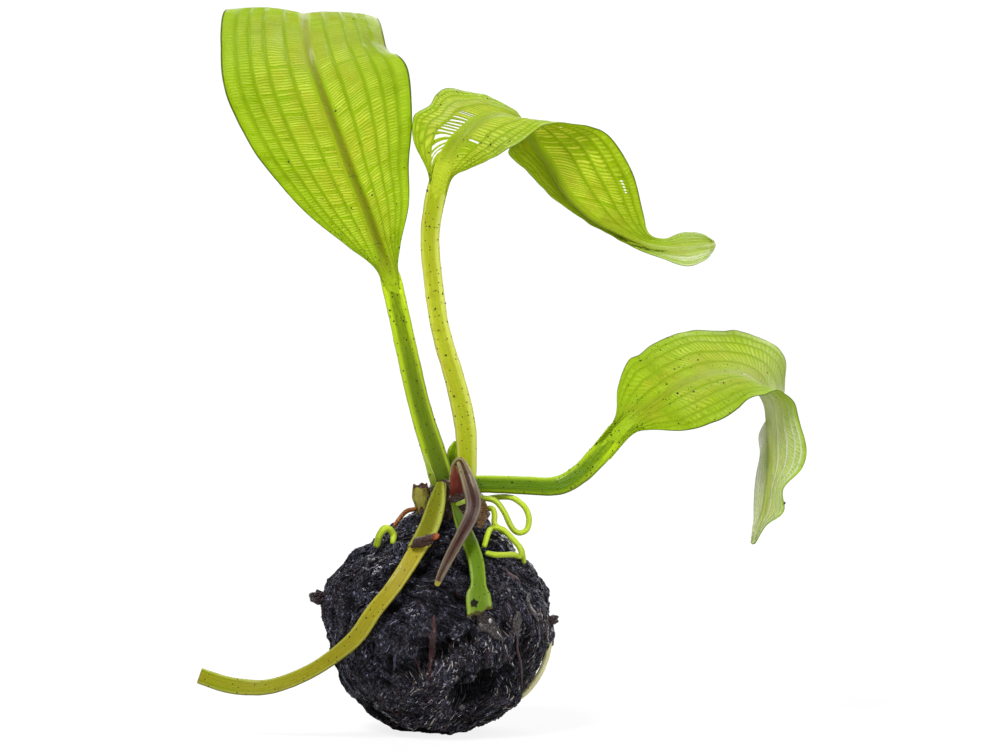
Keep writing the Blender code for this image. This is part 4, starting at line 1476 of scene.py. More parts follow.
@dataclass
class Peat:
    """The ball of peat, the fibres that felt it, and the bark and litter stuck to it."""

    ball: PeatBall
    ball_finish: EarthFinish
    fibre_finishes: tuple[FibreFinish, ...]
    chips: dict[str, Chip]
    bark_finishes: dict[str, EarthFinish]
    strips: tuple[Strip, ...]
    crumb_count: int = 7000
    crumb_sizes: Pair = (0.12, 0.42)
    strip_lift: float = 0.3
    strip_taper: Series = (0.6, 1.0, 0.8, 0.3)

    def build(self) -> None:
        """Makes the ball, then the fibres, the bark and the litter."""
        self.ball.body().piece("peat_ball_skin", made_of(self.ball_finish), "peat", ("peat_ball",))
        for number, (kind, finish) in enumerate(zip(self.ball.kinds, self.fibre_finishes)):
            fibres = self.ball.fibres(kind, Pattern.FIBRES + number)
            fibres.piece(f"peat_fibres_{number + 1}", made_of(finish), "peat")
        crumbs = self.ball.crumbs(self.crumb_count, self.crumb_sizes, Pattern.LOOSE_CRUMBS)
        crumbs.piece("peat_crumbs", made_of(self.fibre_finishes[0]), "peat")
        for name, chip in self.chips.items():
            bark = made_of(self.bark_finishes[name])
            chip.shape().piece(name + "_grained", bark, "bark", (name,))
        for strip in self.strips:
            path, out = self.ball.front(np.array(strip.seen))
            strand = Strand(
                tuple(map(tuple, path + self.strip_lift * out)),
                tuple(share * strip.width for share in self.strip_taper),
                (strip.thickness,) * 2,
                face=tuple(out.mean(axis=0)),
                rings=60,
                sides=20,
                wobble=0.3,
                end=End.POINT,
            )
            strand.shape().piece(strip.name, made_of(strip.finish), "peat")


class Lamp(NamedTuple):
    """A broad soft light far away: its strength, the way to it, and the degrees that it covers."""

    name: str
    strength: float
    towards: Point
    degrees: float


@dataclass
class Studio:
    """A pale floor in even white light, and a camera level with the plant's middle."""

    aim: Point = (13.7, 0.0, 77.8)
    distance: float = 1200.0
    elevation: float = 4.0
    seen_width: float = 217.4
    floor_half: float = 9000.0
    surround: float = 0.15
    seen_surround: float = 1.05
    lamps: tuple[Lamp, ...] = (
        Lamp("key_light", 2.8, (-0.5, -0.65, 1.0), 20.0),
        Lamp("side_light", 1.2, (1.0, -0.6, 0.5), 14.0),
        Lamp("low_light", 0.7, (0.25, -1.0, 0.1), 25.0),
        Lamp("back_light", 2.8, (0.35, 1.0, 0.75), 60.0),
    )
    glow: float = 0.86
    floor_tone: Colour = (180, 180, 182)
    seen_tone: Colour = (112, 112, 112)
    whites: tuple[Colour, Colour] = ((250, 250, 250), (253, 253, 253))
    patches: float = 90.0
    sensor: float = 36.0
    far_clip: float = 60.0

    def build(self) -> None:
        """Makes the floor, the lights and the camera.

        The floor shows white, but throws back only part of the light, as a floor in a dim room does.
        """
        half = self.floor_half * MM
        mesh = bpy.data.meshes.new("floor")
        corners = [(-half, -half, 0.0), (half, -half, 0.0), (half, half, 0.0), (-half, half, 0.0)]
        mesh.from_pydata(corners, [], [(0, 1, 2, 3)])
        board = Board("floor_white")
        shade = board.mix(board.noise(self.patches), *self.whites)
        plain = {"Roughness": 0.9, "Specular IOR Level": 0.0}
        dim = board.skin({"Base Color": self.floor_tone} | plain)
        seen = board.add("ShaderNodeLightPath", out="Is Camera Ray")
        sockets = {"Base Color": self.seen_tone} | plain
        sockets |= {"Emission Color": shade, "Emission Strength": self.glow}
        mesh.materials.append(board.done(board.blend(seen, dim, board.skin(sockets))))
        placed("floor", mesh)
        self._light_world()
        for lamp in self.lamps:
            self._hang(lamp)
        self._camera()
        bpy.context.scene.view_settings.view_transform = "Standard"

    def _light_world(self) -> None:
        """White all round: full white where the camera sees it, and gentler where it lights."""
        world = bpy.data.worlds.new("white_surround")
        bpy.context.scene.world = world
        world.use_nodes = True
        nodes, links = world.node_tree.nodes, world.node_tree.links
        seen = nodes.new("ShaderNodeLightPath").outputs["Is Camera Ray"]
        strength = nodes.new("ShaderNodeMapRange")
        strength.inputs["To Min"].default_value = self.surround
        strength.inputs["To Max"].default_value = self.seen_surround
        links.new(seen, strength.inputs["Value"])
        background = nodes["Background"]
        background.inputs["Color"].default_value = (1.0, 1.0, 1.0, 1.0)
        links.new(strength.outputs[0], background.inputs["Strength"])

    @staticmethod
    def _hang(lamp: Lamp) -> None:
        """Hangs a lamp, which shines from its direction on everything alike."""
        light = bpy.data.lights.new(lamp.name, "SUN")
        light.energy = lamp.strength
        light.angle = math.radians(lamp.degrees)
        made = placed(lamp.name, light)
        made.rotation_euler = Vector(lamp.towards).to_track_quat("Z", "Y").to_euler()

    def _camera(self) -> None:
        """A long lens from the front, slightly above, with the plant framed as in its picture."""
        lens = bpy.data.cameras.new("camera")
        lens.sensor_width = self.sensor
        lens.lens = self.sensor * self.distance / self.seen_width
        lens.clip_end = self.far_clip
        camera = placed("camera", lens)
        tilt = math.radians(self.elevation)
        back = Vector((0.0, -math.cos(tilt), math.sin(tilt)))
        camera.location = (Vector(self.aim) + back * self.distance) * MM
        camera.rotation_euler = (math.pi / 2 - tilt, 0.0, 0.0)
        bpy.context.scene.camera = camera


LEFT_BLADE = Blade(
    stations=(
        Station((-11.0, 3.2, 92.8), (-8.9, 2.6, 93.0), (-6.7, 3.2, 92.8)),
        Station((-12.6, 3.2, 99.7), (-10.6, 1.9, 99.9), (-8.4, 3.0, 99.9)),
        Station((-19.7, 3.0, 105.8), (-12.6, 2.5, 105.9), (-7.9, 2.4, 106.2)),
        Station((-28.6, 3.5, 113.0), (-15.4, 2.0, 114.0), (-6.1, 1.6, 114.7)),
        Station((-36.2, 4.5, 121.4), (-18.7, 2.0, 122.2), (-6.1, 2.4, 123.9)),
        Station((-41.5, 5.5, 129.1), (-21.5, 2.5, 129.8), (-5.4, 3.4, 132.7)),
        Station((-45.8, 7.0, 138.0), (-25.0, 3.5, 139.2), (-6.1, 4.0, 143.4)),
        Station((-47.3, 10.0, 146.5), (-27.6, 6.0, 146.4), (-8.7, 6.0, 147.3)),
        Station((-47.4, 15.0, 154.2), (-28.9, 11.0, 152.7), (-11.1, 10.5, 149.4)),
        Station((-45.9, 21.0, 157.1), (-29.4, 18.0, 155.9), (-13.3, 19.0, 155.0)),
        Station((-42.5, 27.0, 154.6), (-29.6, 25.0, 154.8), (-16.0, 26.0, 153.6)),
        Station((-37.5, 33.0, 151.0), (-29.6, 32.0, 151.6), (-21.0, 32.5, 150.6)),
        Station((-31.0, 37.5, 147.3), (-29.6, 38.0, 147.0), (-28.2, 37.5, 147.3)),
    ),
    swell=0.9, wave_height=0.5, wave_count=6.0,
    pitches=(0.62, 0.6, 0.6, 0.58, 0.58, 0.56, 0.6, 0.7), veins=(0.27, 0.5, 0.67, 0.82),
    skew=(-0.01, 0.045), midrib_widths=(2.8, 1.6), interval_light=(1.0, 0.95, 0.8, 0.5),
    light_along=(0.0, 0.3, 0.75, 1.0, 1.0, 1.0, 1.0, 0.6, 0.4, 0.4, 0.4),
    painted_glare_and_pale_along=(0.0, 0.0, 0.0, 0.0, 0.0, 0.05, 0.15, 0.6, 0.4, 0.15, 0.1, 0.1),
    painted_glare_and_pale_across=(0.3, 0.6, 0.9, 0.8, 1.0, 1.3),
    dirt_along=(0.8, 0.9, 0.7, 0.5, 0.35, 0.2, 0.1, 0.05, 0.0, 0.0), seed=101,
)

MIDDLE_BLADE = Blade(
    stations=(
        Station((-2.9, 0.4, 113.6), (-0.8, -0.2, 114.0), (1.3, 0.4, 113.6)),
        Station((-1.6, 0.1, 120.6), (0.7, -0.9, 120.8), (3.2, -0.2, 120.4)),
        Station((-4.9, -0.4, 128.2), (2.4, 0.0, 125.2), (6.7, -1.5, 122.5)),
        Station((-5.2, 0.6, 133.3), (4.1, 0.5, 128.0), (10.2, -3.0, 124.1)),
        Station((-3.9, 2.2, 135.0), (5.1, 0.8, 129.1), (11.6, -3.5, 124.9)),
        Station((-1.6, 4.6, 136.3), (6.1, 1.0, 130.1), (13.0, -4.0, 125.7)),
        Station((0.0, 6.6, 138.6), (7.4, 1.5, 131.4), (14.6, -4.5, 126.7)),
        Station((3.4, 8.0, 139.9), (8.7, 2.0, 132.5), (16.1, -5.0, 127.7)),
        Station((10.8, 11.0, 138.2), (11.5, 3.0, 133.8), (18.9, -5.0, 129.4)),
        Station((16.3, 13.0, 134.5), (14.8, 4.5, 134.0), (21.7, -3.5, 131.1)),
        Station((18.3, 14.5, 131.4), (17.6, 7.0, 132.8), (24.1, -1.0, 132.3)),
        Station((16.3, 15.0, 127.8), (19.6, 8.5, 130.5), (27.4, 1.5, 133.0)),
        Station((15.4, 15.0, 125.2), (21.3, 8.5, 127.9), (33.3, 4.0, 131.3)),
        Station((19.8, 14.0, 121.6), (24.1, 7.5, 123.9), (38.0, 5.0, 129.0)),
        Station((25.4, 12.0, 115.9), (28.0, 6.0, 117.2), (42.6, 6.0, 121.6)),
        Station((32.2, 9.0, 110.9), (33.9, 5.0, 111.6), (45.0, 7.0, 113.0)),
        Station((39.8, 6.0, 106.8), (41.0, 5.0, 107.9), (46.3, 8.0, 108.3)),
        Station((47.4, 3.0, 103.5), (47.8, 5.0, 105.2), (49.3, 9.0, 107.0)),
        Station((54.1, 0.0, 101.6), (54.6, 4.0, 105.0), (53.7, 9.0, 108.5)),
        Station((58.3, 0.5, 102.8), (58.0, 3.0, 105.6), (57.8, 6.0, 108.2)),
        Station((60.1, 1.9, 104.8), (60.6, 2.5, 106.0), (60.1, 3.4, 107.0)),
    ),
    swell=0.5, wave_height=0.25, wave_count=7.0,
    pitches=(0.8, 0.8, 0.8, 0.7, 0.65, 0.65, 0.65, 0.7), veins=(0.36, 0.56, 0.74, 0.88),
    skew=(-0.12, 0.05), midrib_widths=(3.6, 1.2), interval_light=(1.0, 0.95, 0.85, 0.6),
    light_along=(0.0, 0.6, 1.0, 1.0, 0.9, 0.9, 1.0, 1.0, 0.9, 0.6, 0.4, 0.3),
    painted_glare_and_pale_along=(0.0, 0.0, 0.1, 0.3, 0.55, 0.5, 0.25, 0.0, 0.0, 0.0, 0.1, 0.8, 2.4, 3.6),
    painted_glare_and_pale_across=(0.3, 0.25, 0.3, 0.75, 0.3, 0.15, 0.12, 0.12, 0.12, 0.15, 0.2, 0.25, 0.3),
    dirt_along=(0.9, 0.7, 0.4, 0.3, 0.2, 0.15, 0.1, 0.1, 0.1, 0.0),
    spread_along=(0.0, 0.08, 0.1, 0.08, 0.04, 0.0, 0.0, 0.0, 0.0),
    slits=(
        Slits(-1, 0, 0.115, 0.38, 0.84),
        Slits(-1, 1, 0.14, 0.3, 0.3, True),
        Slits(1, 0, 0.2, 0.225, 1.0),
        Slits(1, 2, 0.515, 0.525, 1.0, True),
        Slits(1, 3, 0.65, 0.672, 1.0, True),
    ),
    seed=202,
)

RIGHT_BLADE = Blade(
    stations=(
        Station((34.2, -2.0, 62.6), (35.9, -2.8, 61.2), (37.6, -3.0, 59.6)),
        Station((38.6, -1.8, 68.6), (40.4, -3.0, 66.6), (42.3, -3.2, 64.9)),
        Station((39.3, 1.0, 75.0), (44.1, -2.0, 69.3), (45.9, -5.0, 66.3)),
        Station((41.5, 3.0, 80.5), (47.8, -1.5, 72.1), (51.1, -7.5, 66.2)),
        Station((44.1, 4.2, 82.0), (49.8, -1.3, 73.5), (53.8, -8.5, 66.6)),
        Station((47.2, 5.5, 84.0), (51.7, -1.0, 74.9), (56.5, -9.5, 67.0)),
        Station((55.0, 8.5, 87.2), (56.7, 0.0, 77.2), (62.0, -10.5, 69.4)),
        Station((61.5, 10.5, 86.9), (62.0, 1.0, 78.2), (66.3, -10.0, 72.1)),
        Station((68.5, 11.5, 86.2), (66.1, 2.0, 77.7), (69.6, -9.0, 74.1)),
        Station((73.7, 12.0, 83.8), (68.9, 3.0, 75.9), (72.0, -7.5, 74.6)),
        Station((76.5, 12.0, 79.6), (70.6, 3.5, 73.6), (74.6, -6.0, 74.3)),
        Station((76.5, 11.0, 75.0), (71.8, 3.0, 71.0), (77.0, -4.5, 72.5)),
        Station((74.3, 9.0, 70.1), (72.1, 2.0, 67.9), (78.5, -3.0, 68.0)),
        Station((70.7, 6.5, 65.0), (72.2, 1.0, 64.3), (80.3, -2.5, 62.6)),
        Station((69.9, 5.0, 59.5), (72.4, 0.5, 59.5), (79.3, -2.0, 57.7)),
        Station((69.6, 4.0, 53.6), (72.0, 0.5, 53.7), (75.4, -1.5, 53.1)),
        Station((69.0, 3.5, 47.8), (71.3, 1.0, 48.6), (75.4, -0.5, 48.0)),
        Station((68.7, 3.0, 43.3), (69.8, 1.5, 44.0), (71.8, 0.5, 44.9)),
        Station((68.5, 2.4, 40.8), (68.9, 2.0, 40.6), (69.3, 1.7, 40.9)),
    ),
    swell=0.4, wave_height=0.3, wave_count=8.0,
    pitches=(0.46, 0.46, 0.5, 0.56, 0.6, 0.6, 0.65, 0.7), veins=(0.25, 0.48, 0.7, 0.86),
    skew=(-0.085, 0.07), midrib_widths=(2.5, 0.8), interval_light=(0.9, 0.9, 0.8, 0.6),
    light_along=(0.0, 0.2, 0.5, 0.75, 0.85, 0.85, 0.8, 0.7, 0.7, 0.8, 0.8, 0.8),
    painted_glare_and_pale_along=(0.0, 0.0, 0.0, 0.05, 0.15, 0.3, 0.5, 0.7, 0.9, 1.0, 1.0, 1.0, 1.0),
    painted_glare_and_pale_across=(1.0, 1.0, 1.0, 1.0, 0.8, 0.5, 0.2),
    dirt_along=(0.8, 1.0, 1.0, 0.9, 0.6, 0.4, 0.3, 0.2, 0.2, 0.1, 0.1), seed=303,
)

# Clusters of dirt near the right blade's base, and one grain at its tip.
RIGHT_SPOTS = (
    (-0.3, 0.165, 0.24), (-0.25, 0.172, 0.18), (-0.36, 0.158, 0.16), (0.1, 0.2, 0.2),
    (0.14, 0.212, 0.16), (0.06, 0.19, 0.15), (0.5, 0.06, 0.22), (0.56, 0.07, 0.18),
    (0.42, 0.052, 0.16), (0.48, 0.075, 0.15), (1.0, 0.8, 0.4),
)

LEFT_LACE = LeafFinish(
    "lace_of_left_leaf",
    warm_share=0.45, painted_glare_and_pale=(186, 196, 96), pale_vein=(164, 176, 96), nicks=(0.172, 0.322),
)
MIDDLE_LACE = LeafFinish(
    "lace_of_middle_leaf",
    midrib=(148, 168, 10), foot=(180, 198, 36), midrib_light=(170, 190, 10), warm=(186, 172, 34),
    warm_share=0.4, body_light=(196, 206, 12), cell_light=(255, 242, 108),
)
RIGHT_LACE = LeafFinish(
    "lace_of_right_leaf",
    body=(168, 202, 6), cell=(218, 240, 76), vein=(156, 186, 6), midrib=(148, 166, 10),
    foot=(150, 182, 8), painted_glare_and_pale=(208, 214, 158), pale_vein=(255, 255, 248), warm=(196, 186, 50),
    warm_share=0.5, pale_from=0.58, body_light=(192, 214, 12),
)

STALK_GREEN = StalkFinish(
    "stalk_green",
    base=(50, 68, 0), middle=(118, 138, 4), tip=(204, 234, 6), channel=(84, 110, 0),
    rim=(190, 218, 40), end=(120, 150, 40), blotch=(92, 108, 4), middle_at=0.32, painted_highlight_side=-1.0,
    tip_at=0.7, speck_share=0.35,
)
STALK_OLIVE = StalkFinish(
    "stalk_olive",
    base=(160, 170, 20), middle=(204, 212, 56), tip=(160, 180, 18), channel=(158, 172, 20),
    rim=(214, 222, 104), end=(150, 160, 50), speck_share=0.35, blotch=(164, 146, 24),
    side=(96, 92, 20), painted_highlight_side=1.0, blotch_share=0.45, tip_at=0.72,
)
STALK_DEEP = StalkFinish(
    "stalk_deep_green",
    base=(54, 80, 0), middle=(102, 134, 0), tip=(190, 222, 10), channel=(80, 114, 0),
    rim=(168, 196, 30), end=(110, 140, 30), blotch=(76, 104, 0), middle_at=0.4, painted_highlight_side=-1.0,
    tip_at=0.8, speck_share=0.3,
)
OLD_YELLOW = StalkFinish(
    "old_stalk_yellow",
    base=(106, 108, 12), middle=(158, 146, 38), tip=(124, 136, 4), channel=(148, 142, 26),
    rim=(198, 200, 92), end=(120, 92, 40), end_from=0.993, blotch=(134, 116, 24), base_until=0.16,
    middle_at=0.26, side=(84, 80, 16), rim_share=0.35, channel_share=0.35, speck_share=0.3,
)
SHEATH_OLIVE = StalkFinish(
    "sheath_olive",
    base=(124, 136, 26), middle=(110, 112, 12), tip=(130, 128, 26), channel=(104, 106, 12),
    rim=(176, 180, 80), end=(206, 204, 120), painted_highlight_side=-1.0, blotch=(82, 74, 20), blotch_share=0.5,
    side=(80, 78, 14), speck_share=0.5,
)
CUT_GREEN = StalkFinish(
    "cut_stalk_green",
    base=(54, 62, 8), middle=(96, 128, 6), tip=(112, 132, 46), channel=(84, 114, 4),
    rim=(150, 174, 70), end=(88, 84, 36), end_from=0.985, blotch=(76, 104, 10),
    stain=(8.2, -24.6, 30.7), stain_reach=1.3, speck_share=0.35, speck=(22, 20, 8),
)
YOUNG_PURPLE = StalkFinish(
    "young_leaf_mauve",
    base=(164, 152, 92), middle=(76, 60, 60), tip=(84, 68, 46), channel=(50, 20, 12),
    rim=(196, 184, 150), end=(150, 140, 60), end_from=0.96, middle_at=0.52, channel_share=0.9,
    blotch=(104, 90, 86), speck_share=0.1, rim_share=0.2, side=(60, 48, 44), channel_half=0.36,
)
BUD_RED = StalkFinish(
    "bud_red",
    base=(74, 26, 16), middle=(118, 50, 38), tip=(132, 78, 52), channel=(90, 34, 22),
    rim=(120, 62, 44), end=(176, 130, 106), blotch=(92, 36, 30), speck_share=0.0, side=(44, 14, 10),
)
STUB_OLIVE = StalkFinish(
    "old_stub_olive",
    base=(70, 50, 26), middle=(146, 142, 56), tip=(74, 42, 26), channel=(160, 156, 66),
    rim=(120, 106, 44), end=(60, 36, 30), middle_at=0.45, end_from=0.9, blotch=(66, 40, 26),
    blotch_share=0.8, side=(48, 30, 18),
)
ROOT_LIME = StalkFinish(
    "root_lime",
    base=(140, 166, 20), middle=(178, 200, 40), tip=(166, 196, 40), channel=(196, 214, 64),
    rim=(180, 206, 50), end=(170, 200, 80), speck_share=0.06, blotch=(140, 150, 30),
    side=(104, 124, 14),
)
ROOT_CREAM = StalkFinish(
    "root_cream",
    base=(206, 198, 140), middle=(226, 220, 170), tip=(200, 190, 130), channel=(232, 228, 180),
    rim=(220, 214, 160), end=(190, 170, 110), speck_share=0.15, side=(150, 140, 80),
)
MEMBRANE = StalkFinish(
    "membrane_pale",
    base=(120, 140, 30), middle=(146, 170, 50), tip=(186, 196, 104), channel=(140, 164, 44),
    rim=(206, 206, 140), end=(214, 206, 160), speck_share=0.1, side=(120, 126, 50),
)

PEAT_WET = EarthFinish(
    "peat_wet",
    dark=(4, 4, 10), light=(31, 30, 42), warm=(40, 22, 22), warm_share=0.4, patch=7.0,
    roughness=0.25, wet=0.35, relief=0.5, shine=0.14, painted_glint_share=0.6, paints_hollow_shade=True,
    painted_glint_colour=(120, 120, 142),
)
TUBER_BROWN = EarthFinish(
    "tuber_brown",
    dark=(26, 16, 14), light=(94, 64, 42), warm=(74, 34, 26), relief=0.35,
)
BARK_BROWN = EarthFinish(
    "bark_brown",
    dark=(24, 12, 10), light=(96, 50, 34), warm=(70, 28, 20), wet=0.3, tinge_at=(0.5, -20.6, 44.3),
)
BARK_BLACK = EarthFinish("bark_black", dark=(24, 16, 20), light=(70, 50, 52), warm=(52, 24, 26), wet=0.5)
HUSK_BROWN = EarthFinish(
    "husk_brown", dark=(70, 44, 24), light=(160, 116, 62), warm=(120, 60, 30), wet=0.3
)
ROOTLET_ORANGE = EarthFinish(
    "rootlet_orange", dark=(120, 62, 22), light=(190, 116, 44), warm=(90, 40, 20), wet=0.3
)
FLAKE_GREY = EarthFinish(
    "litter_grey", dark=(20, 17, 19), light=(98, 88, 86), warm=(50, 30, 30), wet=0.6
)
DIRT = EarthFinish("dirt_dark", dark=(10, 9, 8), light=(42, 34, 26), warm=(30, 18, 14))
MAROON = EarthFinish("litter_maroon", dark=(24, 8, 12), light=(84, 36, 42), warm=(50, 18, 24))

LEFT_STALK = Strand(
    path=(
        (1.9, 2.2, 52.4), (-0.1, 2.3, 58.8), (-3.6, 2.4, 70.0), (-6.2, 2.6, 81.0), (-8.6, 2.9, 92.0),
        (-10.3, 3.1, 99.2), (-11.9, 3.5, 104.4), (-13.2, 3.4, 109.0),
    ),
    widths=(4.8, 5.2, 4.8, 4.7, 4.6, 4.4, 2.6, 1.6),
    depths=(3.0, 3.1, 3.0, 2.8, 2.4, 1.8, 1.3, 0.8), channel=0.35, rings=200,
)
MIDDLE_STALK = Strand(
    path=(
        (6.4, 3.3, 52.0), (6.5, 3.2, 58.0), (6.1, 2.9, 66.5), (3.9, 2.3, 76.5), (1.0, 1.7, 86.5),
        (-0.5, 1.1, 95.5), (-1.5, 0.6, 106.5), (-0.8, 0.3, 114.0), (0.6, 0.3, 120.0),
        (2.0, 0.9, 124.2), (3.4, 1.4, 127.0),
    ),
    widths=(4.0, 4.2, 4.7, 4.4, 4.1, 4.1, 4.1, 4.3, 4.4, 2.8, 1.6),
    depths=(3.0, 3.0, 2.9, 2.8, 2.7, 2.6, 2.5, 2.2, 1.8, 1.2, 0.8), channel=0.3, rings=220,
)
RIGHT_STALK = Strand(
    path=(
        (5.6, -0.9, 53.6), (9.6, -1.0, 54.1), (18.0, -1.4, 53.9), (26.0, -2.0, 53.8),
        (31.0, -2.2, 56.4), (35.3, -2.2, 60.7), (40.2, -1.9, 66.4), (43.7, -1.0, 69.6),
        (46.8, -0.6, 72.0),
    ),
    widths=(3.3, 3.8, 4.0, 4.2, 4.5, 4.8, 4.8, 3.0, 1.6),
    depths=(2.6, 2.8, 2.8, 2.8, 2.7, 2.3, 1.8, 1.2, 0.8), face=(-0.25, -1, 0.3), channel=0.25,
    rings=200,
)

ROOT_FACE = (0.3, -1.0, 0.2)


def root(name: str, path: tuple[Point, ...], width: float = 1.25) -> Growth:
    """A lime root of this width, thinner at its far end."""
    widths = (width,) * (len(path) - 1) + (0.8 * width,)
    strand = Strand(path, widths, widths, face=ROOT_FACE, rings=150, sides=24, wobble=0.07)
    return Growth(name, strand, ROOT_LIME, "root")


